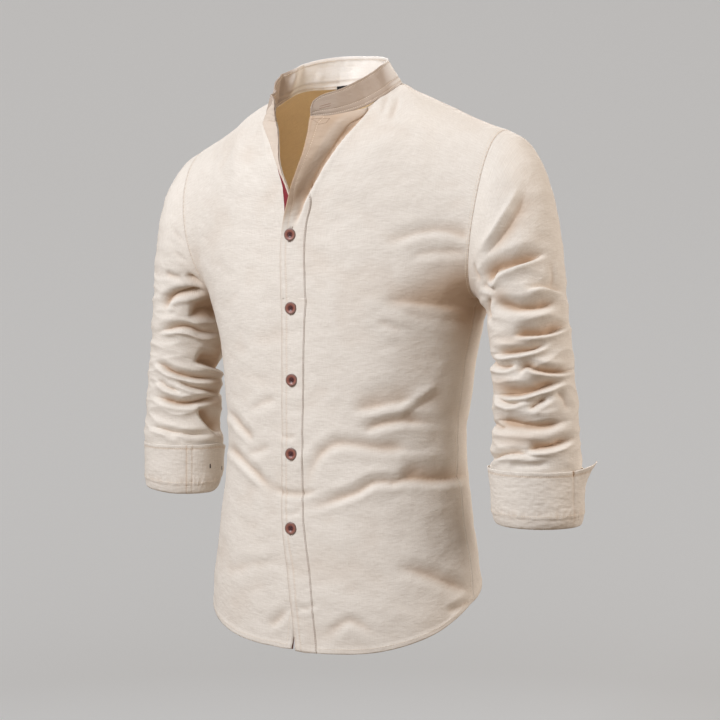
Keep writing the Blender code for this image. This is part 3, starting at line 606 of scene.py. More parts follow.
# Folds where the camera doesn't look, as in the solids: on a sleeve turn is 0 at the outside, 90
# at the front and 180 next to the body; on the body 0 is the centre front, 90 the left side.
Fold = namedtuple("Fold", "turn_a height_a turn_b height_b bow width depth")
BACK_FOLDS = rows_of(
    Fold,
    (104, -0.436, 176, -0.470, 0.008, 0.012, -0.005),
    (-108, -0.458, -158, -0.474, 0.005, 0.011, -0.005),
    (112, -0.488, 150, -0.512, -0.004, 0.009, -0.004),
    (-104, -0.512, -178, -0.552, 0.007, 0.012, -0.004),
    (-118, -0.425, -150, -0.418, 0.003, 0.008, -0.003),
    (138, -0.404, 218, -0.424, 0.006, 0.014, 0.004),
    (155, -0.535, 210, -0.520, -0.005, 0.012, -0.003),
    (110, -0.262, 156, -0.188, 0.000, 0.012, -0.004),
    (-114, -0.246, -142, -0.206, 0.000, 0.012, -0.005),
    (106, -0.310, 132, -0.280, 0.000, 0.008, -0.003),
    (-106, -0.292, -150, -0.254, 0.004, 0.011, -0.003),
    (-104, -0.345, -128, -0.330, 0.000, 0.008, -0.002),
    (100, -0.560, 150, -0.600, 0.004, 0.012, -0.003),
    (-100, -0.570, -150, -0.610, 0.004, 0.012, -0.003),
    (-86, -0.340, -60, -0.300, 0.000, 0.012, -0.003),
)
STAND = 0.0150
STAND_LOW, STAND_HIGH = -0.200, -0.130
Valley = namedtuple("Valley", "height width")
VALLEY = rows_of(
    Valley,
    (-0.200, 0.0130),
    (-0.178, 0.0180),
    (-0.154, 0.0195),
    (-0.129, 0.0245),
    (-0.103, 0.0285),
    (-0.088, 0.0340),
    (-0.072, 0.0410),
    (-0.051, 0.0580),
)
# Places of the photograph where shade is painted warm and dark into the cloth between folds: column
# and row of the middle, reach across and down, and how dark.
ShadePatch = namedtuple("ShadePatch", "column row across down share")
CHEST_SHADE_PATCHES = rows_of(
    ShadePatch,
    (450, 290, 34, 22, 0.75),
    (470, 318, 20, 34, 0.45),
)
LEFT_SLEEVE_SHADE_PATCHES = rows_of(
    ShadePatch,
    (500, 296, 9, 8, 0.5),
    (512, 341, 18, 8, 0.35),
    (502, 386, 12, 8, 0.55),
    (545, 371, 16, 5, 0.3),
    (520, 440, 24, 8, 0.45),
)
RIGHT_SLEEVE_SHADE_PATCHES = rows_of(
    ShadePatch,
    (213, 306, 13, 12, 0.75),
    (222, 352, 10, 14, 0.8),
    (220, 384, 12, 8, 0.6),
    (216, 402, 10, 7, 0.6),
    (222, 424, 8, 12, 0.5),
)
# soft lumps and dents all over, as depth, size along x, y and z, and where their noise starts
BODY_LUMPS = (0.0013, (0.060, 0.060, 0.045), 0.0), (0.0007, (0.022, 0.022, 0.016), 7.0)
SLEEVE_RIDGES = 0.0022, (0.050, 0.050, 0.020), 3.0
SLEEVE_LUMPS = 0.0010, (0.030, 0.030, 0.014), 11.0
COLLAR_LUMPS = (0.0014, (0.026, 0.026, 0.018), 2.0), (0.0007, (0.010, 0.010, 0.012), 6.0)
# those of the cuffs say last how much of them the right cuff has
CUFF_LUMPS = (
    (0.0008, (0.040, 0.040, 0.022), 5.0, 1.0),
    (0.0004, (0.018, 0.018, 0.007), 9.0, 0.6),
    (0.0004, (0.0055, 0.0055, 0.0030), 3.0, 0.6),
)
CUFF_PUCKERS = 0.0007, (0.006, 0.006, 0.020), 4.0
# painted shade in crease troughs is full at the depth below on the body, and at the sleeves' depth
# two lines down
FULL_SHADE_TROUGH = 0.007  # a trough this deep is fully warm and dark
SLEEVE_DEPTH = 1.4
SLEEVE_FULL_SHADE_TROUGH = 0.0080
# where the painted shade under the arm lies and how far it reaches
PIT_X, PIT_Z = 0.206, -0.315
PIT_REACH = (0.018, 0.070)
LEAVES_ARMHOLE, ENTERS_CUFF = (0.0, 0.07), (0.87, 0.905)
CUFF_FILL = 0.0032  # how far the sleeve bulges to fill its cuff
FILL_STARTS, FILL_ENDS = (0.80, 0.875), (0.90, 0.94)


def seen(point):
    """The photograph's column and row at which points show."""
    away = VIEW_DISTANCE + point @ AHEAD
    column = IMAGE / 2 + FOCAL * (point @ ASIDE - EYE_ASIDE) / away
    row = HORIZON - FOCAL * (point[..., 2] - EYE_HEIGHT) / away
    return np.stack([column, row], -1)


def rounded_line(points, steps=6):
    """A smooth line through a few points, which come as column, row, column, row."""
    points = np.array(points, float).reshape(-1, 2)
    last = len(points) - 1
    at = np.linspace(0, last, steps * last + 1)
    i = np.clip(at.astype(int), 0, last - 1)
    return cubic(points, np.gradient(points, axis=0), 1, i, (at - i)[:, None])


def beside(spots, line):
    """Each spot's distance from a line, positive below or right of it, and its share along it."""
    start, way = line[:-1], np.diff(line, axis=0)
    rel = spots[:, None] - start
    t = np.clip((rel * way).sum(-1) / (way * way).sum(-1), 0, 1)
    off = rel - t[..., None] * way
    near = (off * off).sum(-1).argmin(1)
    n = np.arange(len(spots))
    off, t, way, rel = off[n, near], t[n, near], way[near], rel[n, near]
    turn = way[:, 0] * rel[:, 1] - way[:, 1] * rel[:, 0]
    return np.sign(turn) * np.hypot(off[:, 0], off[:, 1]), (near + t) / len(start)


def crease_height(spots, crease):
    """How far a crease moves the cloth outwards, in metres, at spots of the image."""
    line = rounded_line(crease.path)
    reach = 2.5 * (crease.above + crease.below)
    inside = ((spots > line.min(0) - reach) & (spots < line.max(0) + reach)).all(1)
    height = np.zeros(len(spots))
    if not inside.any():
        return height
    off, share = beside(spots[inside], line)
    taper = ease(share, -0.05, 0.28)
    if not crease.runs_out:
        taper = taper * (1 - ease(share, 0.72, 1.05))
    # a trough with a sharp bottom, between two rolls that are soft at the top and long at the foot
    up, down = -off / crease.above, off / crease.below
    over = np.clip(1 - np.abs(up), 0, 1) ** 1.5
    under = np.clip(1 - np.abs(down) / 1.2, 0, 1) ** 1.6
    trough = np.where(off < 0, over, under)
    top = 0.4 * np.exp(-(((up - 1.1) / 0.55) ** 2)) + 0.6 * np.exp(-np.abs(up - 1.1) / 0.4)
    roll = 0.4 * np.exp(-(((down - 1.5) / 0.9) ** 2)) + 0.6 * np.exp(-np.abs(down - 1.4) / 0.6)
    lift = crease.crest * top + crease.lip * roll - crease.depth * trough
    height[inside] = taper * lift / 1000
    return height


def creases_at(point, way, creases, hidden):
    """The heights of creases at points. Past the outline they run on round the far side, lower
    down, if hidden is set, and else they fade."""
    facing = (way * unit(EYE - point)).sum(-1)
    spots = seen(point)
    if hidden:
        spots[:, 1] -= 16 * ease(-facing, 0, 1)
        shown = 1.0
    else:
        shown = ease(facing, 0.0, 0.25)
    return sum(crease_height(spots, crease) for crease in creases) * shown


def fold_height(fold, turn, height):
    """How far a fold moves the cloth out at a turn in degrees and a height."""
    middle, half = (fold.turn_a + fold.turn_b) / 2, (fold.turn_b - fold.turn_a) / 2
    t = (middle + (turn - middle + 180) % 360 - 180 - middle) / half
    line = (fold.height_a + fold.height_b) / 2 + t * (fold.height_b - fold.height_a) / 2
    line = line + fold.bow * (1 - t * t)
    taper = np.cos(np.clip(t, -1, 1) * math.pi / 2) ** 2
    near = (height - line) / fold.width
    shape = 0.6 * np.exp(-(near**2)) + 0.4 * np.exp(-np.abs(near) / 0.55)
    return fold.depth * taper * shape


def all_folds(folds, turn, height):
    return sum(fold_height(fold, turn, height) for fold in folds)


def crumple(point, size, seed=0.0):
    """Noise between -1 and 1 at points, in lumps of these sizes along x, y and z."""
    places = point / np.array(size) + seed
    return np.array([noise.noise(Vector(p)) for p in places.reshape(-1, 3)])


def ridges(point, size, seed=0.0):
    """Soft-sided ridges with sharp tops between 0 and 1."""
    return (1 - np.abs(crumple(point, size, seed))) ** 3


def outward(point):
    """The direction away from the body's middle, level at the sides and up over the shoulders."""
    x, y, z = point[..., 0], point[..., 1], point[..., 2]
    lift = LIFT_WAY * ease(z, -0.16, 0.0) * np.clip(1.05 - (y / HALF_Y) ** 2, 0, 1)
    return unit(np.stack([x / HALF_X**2, y / HALF_Y**2, lift], -1))


def from_armhole(point):
    """Distance of points from the nearer armhole seam."""
    seam = armhole(np.linspace(-math.pi, math.pi, 97), 1)
    there = np.abs(point) * (1, 0, 0) + point * (0, 1, 1)
    gap = np.full(len(point), 1.0)
    for spot in seam:
        gap = np.minimum(gap, np.linalg.norm(there - spot, axis=-1))
    return gap


def underarm_shade(point):
    """Painted shade under the arm: 1 where the sleeve and the body face each other, fading to 0
    around.
    """
    near = ((np.abs(point[..., 0]) - PIT_X) / PIT_REACH[0]) ** 2
    near = near + ((point[..., 2] - PIT_Z) / PIT_REACH[1]) ** 2
    return np.exp(-near) * (1 - ease(-point[..., 1], 0.055, 0.105))


def patch_shade(point, way, shade_patches):
    """How warm and dark the painted shade of patches makes the cloth, on the side that the camera
    sees.
    """
    spots = seen(point)
    dark = 0
    for shade_patch in shade_patches:
        near = ((spots[:, 0] - shade_patch.column) / shade_patch.across) ** 2
        near = near + ((spots[:, 1] - shade_patch.row) / shade_patch.down) ** 2
        dark = dark + shade_patch.share * np.exp(-near)
    return dark * ease((way * unit(EYE - point)).sum(-1), 0.0, 0.2)


def stand(x, z):
    """How far the left edge stands forward beside the open neck, least at the long valley."""
    edge = smooth(LEFT_EDGE, "x", np.clip(z, LEFT_EDGE[0].height, NECK_PIT))
    width = smooth(VALLEY, "width", np.clip(z, VALLEY[0].height, VALLEY[-1].height))
    share = np.clip(1 - (x - edge) / width, 0, 1.2)
    return STAND * share * ease(z, STAND_LOW, STAND_HIGH)


def worn(point, layer="plain", up=None):
    """The body's cloth with its creases, layers and open edge, and its painted shade."""
    x, z = point[..., 0], point[..., 2]
    way = outward(point)
    turn = np.degrees(np.arctan2(x / HALF_X, -point[..., 1] / HALF_Y))
    out = creases_at(point, way, BODY_CREASES, False) + all_folds(BACK_FOLDS, turn, z)
    for depth, size, seed in BODY_LUMPS:
        out = out + depth * crumple(point, size, seed)
    gap = from_armhole(point)
    out = out * ease(gap, 0.0005, 0.009)
    # painted shade in crease troughs; the cloth is also darker along the armhole seam
    painted_shade = np.clip(-out / FULL_SHADE_TROUGH, 0, 1) + 0.5 * (1 - ease(gap, 0.0010, 0.0032))
    # painted shade under the arm, where sleeve and body face each other
    painted_shade = np.clip(painted_shade + 0.7 * underarm_shade(point), 0, 1)
    forward = 0 * x
    if layer == "left":
        forward = stand(x, z)
        # painted shade from patches, and on the flap that stands forward beside the open neck
        painted_shade = painted_shade + patch_shade(point, way, CHEST_SHADE_PATCHES)
        painted_shade = np.clip(painted_shade + 0.85 * ease(forward / STAND, 0, 0.5), 0, 1)
    if layer == "right":
        tuck = ease(x, -0.055, -0.020) * (1 - ease(z, -0.10, NECK_PIT))
        out = out - RIGHT_TUCK * tuck
    if up is not None:
        hem = hem_height(np.radians(turn))
        from_hem = up / (1 - YOKE_SHARE) * (UNDERARM - hem)
        out = out + HEM_RISE * (1 - ease(from_hem, HEM_WIDTH - HEM_STEP, HEM_WIDTH + HEM_STEP))
    return point + way * out[..., None] - AHEAD * forward[..., None], painted_shade


# ==== the forms of sleeves, cuffs and collar
def sleeve_ring(angle, along):
    """A smooth point of the left sleeve."""
    outer = np.stack([smooth(SLEEVE, "outer_x", along), smooth(SLEEVE, "outer_z", along)], -1)
    inner = np.stack([smooth(SLEEVE, "inner_x", along), smooth(SLEEVE, "inner_z", along)], -1)
    middle, half = (outer + inner) / 2, (outer - inner) / 2
    at = middle + half * np.cos(angle)[..., None]
    across = np.sin(angle)
    depth = np.where(across > 0, smooth(SLEEVE, "front", along), smooth(SLEEVE, "back", along))
    seam = 1 - ease(along, 0, 0.16)
    x = at[..., 0] + ARMHOLE_BOW * across**2 * seam
    lean = SHOULDER_POINT[1] / 2 * (1 + np.cos(angle)) * seam
    y = lean - depth * power(across, ARMHOLE_POWER + 0.1 * (1 - seam))
    return np.stack([x, y, at[..., 1]], -1), middle


def sleeve_surface(angle, along, side):
    """The sleeve with its creases and painted shade, from the armhole (0) to the end inside the
    cuff (1).
    """
    point, middle = sleeve_ring(angle, along)
    way = point - np.stack([middle[..., 0], 0 * along, middle[..., 1]], -1)
    way = unit(way)
    creases = LEFT_SLEEVE_CREASES if side > 0 else RIGHT_SLEEVE_CREASES
    here = (side, 1, 1)
    out = SLEEVE_DEPTH * creases_at(point * here, way * here, creases, True)
    loose = ease(along, 0.10, 0.35)
    depth, size, seed = SLEEVE_RIDGES
    out = out + depth * loose * (ridges(point, size, seed * side) - 0.5)
    depth, size, seed = SLEEVE_LUMPS
    out = out + depth * crumple(point, size, seed * side)
    out = out * ease(along, *LEAVES_ARMHOLE) * (1 - ease(along, *ENTERS_CUFF))
    out = out + CUFF_FILL * ease(along, *FILL_STARTS) * (1 - ease(along, *FILL_ENDS))
    point = point + way * out[..., None]
    # painted shade in crease troughs, under the arm and from patches
    painted_shade = np.clip(-out / SLEEVE_FULL_SHADE_TROUGH, 0, 1) ** 1.3 + 0.7 * underarm_shade(point)
    shade_patches = LEFT_SLEEVE_SHADE_PATCHES if side > 0 else RIGHT_SLEEVE_SHADE_PATCHES
    painted_shade = painted_shade + patch_shade(point * here, way * here, shade_patches)
    return point * here, np.clip(painted_shade, 0, 1)


def cuff_surface(way, up, side):
    """A turned-up cuff: way is how far round it we are, up from the inner edge (-1) by the fold (0)
    to the outer edge (1). Its end laps over its own start."""
    # the end of the turned-up strip lies over its start and its corner stands away
    end, flare = CUFF_ENDS[side]
    turn = end - (way - CUFF_ROUND)
    outer = np.clip(up, 0, 1)
    over = ease(way, 2 * math.pi - 0.75, 2 * math.pi - 0.02)
    corner = ease(way, CUFF_ROUND - 0.85, CUFF_ROUND + 0.05) * outer**5
    sharp = 1 - 0.85 * ease(np.cos(turn), -0.3, 0.6) * (side < 0)
    radius = 0.0024 * over + 0.0008 * outer + flare * corner
    radius = radius - 0.0028 * ease(-up, -0.03, 0.06)
    radius = radius - CUFF_TAPER * sharp * (1 - np.abs(up))
    radius = radius - CUFF_FOLD_ROUND * sharp * np.exp(-np.abs(up) / 0.06)
    # the hem along the outer edge and the seam low down, each a ridge beside a stitched groove
    groove = np.exp(-(((outer - CUFF_HEM + 0.012) / 0.018) ** 2))
    radius = radius + 0.0004 * ease(outer, CUFF_HEM - 0.02, CUFF_HEM + 0.02) - 0.0005 * groove
    step = ease(outer, CUFF_SEAM - 0.03, CUFF_SEAM) - 0.5 * ease(outer, CUFF_SEAM, CUFF_SEAM + 0.1)
    radius = radius + 0.0008 * step * (outer > 0)
    # a line up the outside of the left cuff, notched at its outer edge
    if side > 0:
        bend = (turn - CUFF_BEND + 0.03 * (1 - outer)) / 0.035
        radius = radius - 0.0008 * np.exp(-(bend**2)) * ease(outer, 0.15, 0.5)
        radius = radius - 0.0012 * np.exp(-(bend**2)) * ease(outer, 0.86, 0.95)
    x = CUFF_CENTRE_X + (CUFF_RADIUS_X + radius) * np.cos(turn)
    y = -(CUFF_RADIUS_Y + radius) * np.sin(turn)
    height = np.abs(up) * np.where(up > 0, 1, 0.4)
    # the right cuff's lower edge rises to its slit, at the back towards the body
    low, high = CUFF_BOTTOM, CUFF_TOP
    if side < 0:
        split = (np.degrees(turn) - CUFF_SPLIT + 180) % 360 - 180
        split = np.clip(1 - np.abs(split) / 50, 0, 1)
        low = low + 0.030 * split**2.2 + 0.007 * ease(np.cos(turn), -0.5, 1)
        high = high - 0.010 * split**2
    z = low + (high - low) * height + 0.5 * flare * corner
    x = x + 0.0030 * (1 - np.abs(up)) * np.sign(1 + side)
    point = np.stack([x, y, z], -1)
    out = 0
    for depth, size, seed, share in CUFF_LUMPS:
        share = 1 if side > 0 else share
        out = out + depth * share * crumple(point, size, seed * side)
    gathers = np.exp(-(((outer - CUFF_SEAM - 0.03) / 0.10) ** 2)) * (outer > 0)
    depth, size, seed = CUFF_PUCKERS
    pucker = ridges(point, size, seed * side)
    out = out + depth * pucker * (groove + gathers)
    level = unit((point - np.array([CUFF_CENTRE_X, 0, 0])) * (1, 1, 0))
    # painted shade in the stitched groove and the gathers, a painted shadow along the lapped end
    # and the seam, and painted shade in the left cuff's line and notch
    painted_shade = 0.5 * groove + 0.25 * gathers * (1 - pucker)
    painted_shade = painted_shade + 0.8 * (outer > 0) * np.exp(-(((CUFF_ROUND - way) / 0.025) ** 2))
    seam = np.exp(-(((CUFF_ROUND - 0.16 - way) / 0.02) ** 2)) * (outer > 0)
    painted_shade = painted_shade + 0.25 * seam
    out = out - 0.0004 * seam
    if side > 0:
        painted_shade = painted_shade + np.exp(-(bend**2)) * (0.2 + 0.8 * ease(outer, 0.86, 0.95))
    return (point + level * out[..., None]) * (side, 1, 1), np.clip(painted_shade, 0, 1)


def collar_surface(along, up):
    """The collar band: along from the right end (-1) by the back (0) to the left end (1)."""
    share = np.abs(along)
    left = along > 0
    bend = curl((1 - share) / 1.5 / CURL_SHARE, np.full_like(share, NECK_PIT))
    seam = np.where(left[..., None], neck_seam(share, 1), neck_seam(share, -1) + bend)
    level = rounded_back(share)
    leftness = ease(along, -BACK_ROUND, BACK_ROUND)

    def band(column):
        right, leftward = smooth(RIGHT_BAND, column, level), smooth(LEFT_BAND, column, level)
        return right + (leftward - right) * leftness

    height, inward = band("height"), band("lean")
    to_end = (1 - share) * 0.2
    corner = np.clip(1 - to_end / np.where(left, *COLLAR_END_ROUND), 0, 1)
    height = height * (0.45 + 0.55 * np.sqrt(1 - corner**2))
    lean = unit(np.stack([-seam[..., 0], -0.02 - seam[..., 1]], -1))
    point = seam.copy()
    point[..., :2] += lean * (inward * up - 0.0008)[..., None]
    point[..., 2] += up * height
    groove = sum(np.exp(-(((up - row) / 0.035) ** 2)) for row in COLLAR_STITCHES)
    large, small = (depth * crumple(point, size, seed) for depth, size, seed in COLLAR_LUMPS)
    out = large * ease(up, 0.05, 0.5) + small - 0.0006 * groove
    for dent in COLLAR_DENTS:
        near = ((along - dent.along - 0.04 * (up - 0.5)) / dent.width) ** 2
        near = near + ((up - dent.up) / dent.reach) ** 2
        out = out + dent.depth * np.exp(-near) * ease(up, 0.02, 0.2)
    point[..., :2] -= lean * out[..., None]
    forward = stand(point[..., 0], np.full_like(share, NECK_PIT)) * ease(along, 0.60, 0.85)
    point = point - AHEAD * (forward * (1 + 0.35 * up))[..., None]
    # painted shade along the stitched grooves and over both front ends of the band
    front = ease(along, 0.36, 0.56) + ease(-along, 0.44, 0.56)
    return point, np.clip(0.4 * groove + front, 0, 1)


# ==== materials
# a linen's light and dark threads and the colour of the painted shade in its folds
LINEN_OUTSIDE = (0.845, 0.790, 0.720), (0.715, 0.653, 0.580), (0.54, 0.385, 0.265)
# the inside: the same linen painted warmer and darker, as painted shade
LINEN_INSIDE_PAINTED_SHADE = (0.80, 0.645, 0.425), (0.70, 0.55, 0.35), (0.58, 0.44, 0.27)
# the collar: the same linen painted lighter, as painted light; its deep colour is painted shade
LINEN_COLLAR_PAINTED_LIGHT = (0.92, 0.885, 0.835), (0.86, 0.815, 0.76), (0.42, 0.325, 0.255)


class Value:
    """A socket of a material that can be used in a sum."""

    def __init__(self, tree, socket):
        self.tree = tree
        self.socket = socket

    def sum(self, operation, *terms):
        node = self.tree.nodes.new("ShaderNodeMath")
        node.operation = operation
        for place, term in zip(node.inputs, terms):
            if isinstance(term, Value):
                self.tree.links.new(term.socket, place)
            else:
                place.default_value = term
        return Value(self.tree, node.outputs[0])

    def __add__(self, other):
        return self.sum("ADD", self, other)

    def __sub__(self, other):
        return self.sum("SUBTRACT", self, other)

    def __rsub__(self, other):
        return self.sum("SUBTRACT", other, self)

    def __mul__(self, other):
        return self.sum("MULTIPLY", self, other)


class Finish:
    """A material that is put together from nodes."""

    def __init__(self, name):
        self.material = bpy.data.materials.new(name)
        self.material.use_nodes = True
        self.tree = self.material.node_tree
        self.shader = self.tree.nodes["Principled BSDF"]

    def node(self, kind, settings=None, output=0, **sockets):
        """A node of a type, with its settings and then the values or links of its sockets."""
        made = self.tree.nodes.new(kind)
        for name, value in (settings or {}).items():
            setattr(made, name, value)
        for name, value in sockets.items():
            self.put(made, name.replace("_", " "), value)
        return Value(self.tree, made.outputs[output])

    def put(self, node, name, value):
        place = node.inputs[name]
        if isinstance(value, Value):
            self.tree.links.new(value.socket, place)
        else:
            place.default_value = value

    def place(self, scale, source="UV"):
        """The piece's own coordinates, stretched."""
        where = self.tree.nodes.new("ShaderNodeTexCoord")
        at = Value(self.tree, where.outputs[source])
        return self.node("ShaderNodeMapping", Vector=at, Scale=scale)

    def noise(self, scale, detail, source="UV"):
        """Noise of a scale each way."""
        at = self.place(scale, source)
        return self.node("ShaderNodeTexNoise", Vector=at, Scale=1.0, Detail=detail)

    def bump(self, height, distance, strength, **under):
        return self.node(
            "ShaderNodeBump", Height=height, Distance=distance, Strength=strength, **under
        )

    def blend(self, share, low, high):
        """One colour or another, by a share."""
        made = self.tree.nodes.new("ShaderNodeMix")
        made.data_type = "RGBA"
        for place, value in ((0, share), (6, low), (7, high)):
            if isinstance(value, Value):
                self.tree.links.new(value.socket, made.inputs[place])
            else:
                made.inputs[place].default_value = value
        return Value(self.tree, made.outputs[2])

    def surface(self, **sockets):
        for name, value in sockets.items():
            self.put(self.shader, name.replace("_", " "), value)
        return self.material


def colour(red, green, blue):
    return (red, green, blue, 1)


def linen(name, light, dark, painted_deep_shade, glow=0.06):
    """Slubbed plain-woven linen: threads both ways, thick ones here and there, soft unevenness, and
    painted shade towards its deep colour.
    """
    f = Finish(name)
    # threads across and along, in the piece's own cut coordinates in metres
    weft = f.noise((60, 900, 1), 3.0)
    warp = f.noise((1000, 80, 1), 2.0)
    slub = f.noise((45, 700, 1), 1.0)
    cloud = f.noise((16, 16, 16), 3.0, "Object")
    thick = f.node("ShaderNodeMapRange", Value=slub, From_Min=0.62, From_Max=0.80)
    threads = weft * 0.58 + warp * 0.42
    tone = f.node(
        "ShaderNodeMapRange", Value=threads + cloud * 0.2 - 0.1, From_Min=0.30, From_Max=0.70
    )
    tone = tone * (1 - thick * 0.45)
    painted_shade = f.node("ShaderNodeAttribute", {"attribute_name": "painted_shade"}, output=2)
    shade = f.blend(tone, colour(*dark), colour(*light))
    weave = f.noise((1500, 1500, 1), 1.0)
    crepe = f.noise((120, 120, 260), 3.0, "Object")
    fine = f.bump(threads * 0.7 + thick * 0.4 + weave * 0.5, 0.0004, 0.5)
    rumpled = f.bump(crepe, 0.0011, 0.5, Normal=fine)
    wrinkle = f.noise((34, 34, 52), 4.0, "Object")
    normal = f.bump(wrinkle, 0.0035, 0.4, Normal=rumpled)
    return f.surface(
        # painted shade: the colour turns towards the deep colour where the piece's painted shade is
        # set
        Base_Color=f.blend(painted_shade * 0.9, shade, colour(*painted_deep_shade)),
        Roughness=0.86,
        Normal=normal,
        Sheen_Weight=glow,
        Sheen_Roughness=0.45,
        Specular_IOR_Level=0.25,
    )


def plain(name, shade, roughness, grain=900.0, depth=0.0003):
    """One colour with a fine grain."""
    f = Finish(name)
    grain = f.noise((grain,) * 3, 2.0, "Object")
    lighter = tuple(min(1, c * 1.08) for c in shade)
    return f.surface(
        Base_Color=f.blend(grain, colour(*shade), colour(*lighter)),
        Roughness=roughness,
        Normal=f.bump(grain, depth, 0.4),
    )


def horn(name):
    """Polished red-brown horn: a greyer rim, a warm ring and a dark dish, with streaks."""
    f = Finish(name)
    ring = f.node("ShaderNodeAttribute", {"attribute_name": "ring"}, output=2)
    streaks = f.noise((900, 260, 900), 3.0, "Object")
    ring = ring + (streaks - 0.5) * 0.12
    rim = f.node("ShaderNodeMapRange", Value=ring, From_Min=0.74, From_Max=0.86)
    dish = f.node("ShaderNodeMapRange", Value=ring, From_Min=0.40, From_Max=0.52)
    warm = f.blend(streaks, colour(0.21, 0.065, 0.045), colour(0.34, 0.125, 0.085))
    outer = f.blend(rim, warm, colour(0.20, 0.115, 0.090))
    return f.surface(
        Base_Color=f.blend(dish, colour(0.085, 0.014, 0.012), outer),
        Roughness=0.42,
        Coat_Weight=0.15,
        Normal=f.bump(streaks, 0.0001, 0.3),
    )


# ==== making pieces
def placed(name, data):
    """An object of some data, in the scene."""
    made = bpy.data.objects.new(name, data)
    bpy.context.scene.collection.objects.link(made)
    return made


def lathe(bm, profile, steps, join):
    """Turns a line of reaches and heights round the upright axis."""
    line = [bm.verts.new((reach, 0, height)) for reach, height in profile]
    for a, b in zip(line, line[1:]):
        bm.edges.new((a, b))
    bmesh.ops.spin(
        bm, geom=bm.verts[:] + bm.edges[:], cent=(0, 0, 0), axis=(0, 0, 1),
        angle=2 * math.pi, steps=steps, use_merge=True,
    )
    bmesh.ops.remove_doubles(bm, verts=bm.verts, dist=join)
    bmesh.ops.recalc_face_normals(bm, faces=bm.faces)


def spaced(stops, counts):
    """Numbers from the first stop to the last, with a count of even steps in each stretch."""
    values = [stops[0]]
    for low, high, count in zip(stops, stops[1:], counts):
        values += [low + (high - low) * k / count for k in range(1, count + 1)]
    return values


def keep(name, bm, finishes):
    """An object from a bmesh, riding with the shirt."""
    mesh = bpy.data.meshes.new(name)
    bm.to_mesh(mesh)
    bm.free()
    piece = placed(name, mesh)
    for finish in finishes:
        mesh.materials.append(finish)
    mesh.shade_smooth()
    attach(piece, "root")
    return piece


def cloth(
    name, columns, rows, surface, finishes, wall=WALL, size=(1, 1), tube=False,
    turned=False,
):
    """A sheet over columns and rows, with its cut coordinates in metres and its painted shade at
    each point, given a thickness.
    """
    bm = bmesh.new()
    cut = bm.loops.layers.uv.new("cut")
    # each point's painted shade, which the linen's colour reads
    painted_deep_shade = bm.verts.layers.float.new("painted_shade")
    bmesh.ops.create_grid(bm, x_segments=len(columns) - 1, y_segments=len(rows) - 1, size=1)
    verts = list(bm.verts)
    place = np.array([v.co[:2] for v in verts])
    i = np.rint((place[:, 0] + 1) / 2 * (len(columns) - 1)).astype(int)
    j = np.rint((place[:, 1] + 1) / 2 * (len(rows) - 1)).astype(int)
    columns, rows = np.array(columns), np.array(rows)
    for face in bm.faces:
        for loop in face.loops:
            k = loop.vert.index
            loop[cut].uv = (columns[i[k]] * size[0], rows[j[k]] * size[1])
    points, painted_shades = surface(columns[i], rows[j])
    for vert, point, painted_shade in zip(verts, points, painted_shades):
        vert.co = point
        vert[painted_deep_shade] = painted_shade
    if tube:
        bmesh.ops.remove_doubles(bm, verts=bm.verts, dist=1e-6)
    if turned:
        bmesh.ops.reverse_faces(bm, faces=bm.faces)
    piece = keep(name, bm, finishes)
    shell = piece.modifiers.new("wall", "SOLIDIFY")
    shell.thickness = wall
    shell.offset = 0
    shell.use_even_offset = False
    shell.material_offset = len(finishes) - 1
    return piece


def make_body(finishes):
    rows = spaced((0, 0.012, 1 - YOKE_SHARE, 1), (5, 150, 120))
    columns = spaced((0, 1), (112,))
    for name, side, layer, node in (
        ("left_front_cloth", 1, "left", "front_left"),
        ("right_front_cloth", -1, "right", "front_right"),
    ):
        piece = cloth(
            name,
            columns,
            rows,
            lambda a, u, s=side, k=layer: worn(front_surface(a, u, s), k, u),
            finishes,
            size=BODY_CUT,
            turned=side < 0,
        )
        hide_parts(node)
    rows = spaced((0, 0.012, 1 - YOKE_SHARE, 1), (5, 110, 80))
    piece = cloth(
        "back_cloth",
        spaced((-1, 1), (180,)),
        rows,
        lambda a, u: worn(back_surface(a, u), "plain", u),
        finishes,
        size=BODY_CUT,
        turned=True,
    )
    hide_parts("back")


def make_placket(finishes):
    piece = cloth(
        "left_placket_cloth",
        spaced((0, 1), (16,)),
        spaced((0, 1 - YOKE_SHARE, 0.997), (160, 120)),
        placket,
        finishes,
        size=(0.03, BODY_CUT[1]),
    )
    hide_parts("placket_left")


def turned_edge(across, up):
    """The right front's edge turned out over itself, and on above 1 over the collar's end."""
    width = TURNED_NARROW + (TURNED_WIDE - TURNED_NARROW) * ease(up, TURNED_LOW, 1.0) ** 1.3
    width = width * (1 - 0.7 * ease(up, 1.0, 1 + COLLAR_ROWS))
    share = 0.001 + width * across
    low, painted_shade = worn(front_surface(share, np.minimum(up, 1.0), -1), "right")
    end = (1 - SHOULDER_AT) / NECK_SHARE
    high, _ = collar_surface(end * share - 1, np.clip((up - 1) / COLLAR_ROWS, 0, 1))
    upper = ease(up, 0.985, 1.015)[..., None]
    point = low + (high - low) * upper
    way = outward(point) * (1 - upper) + unit(outward(point) * (1, 1, 0)) * upper
    lift = LAYER * (1.1 - 0.4 * across)
    lift = lift + 0.0011 * crumple(point, (0.009, 0.009, 0.011), 8.0) * (1 - across)
    lift = lift + 0.0009 * ridges(point, (0.014, 0.014, 0.008), 12.0)
    # the turned strip takes extra painted shade all over
    return point + unit(way) * lift[..., None], np.clip(painted_shade + 0.45 + 0 * lift, 0, 1)


def make_turned_edge(finishes):
    return cloth(
        "right_turned_edge_cloth",
        spaced((0, 1), (12,)),
        spaced((TURNED_LOW, 1.0, 1 + 0.97 * COLLAR_ROWS), (80, 30)),
        turned_edge,
        finishes,
        size=(0.01, BODY_CUT[1]),
        turned=True,
    )


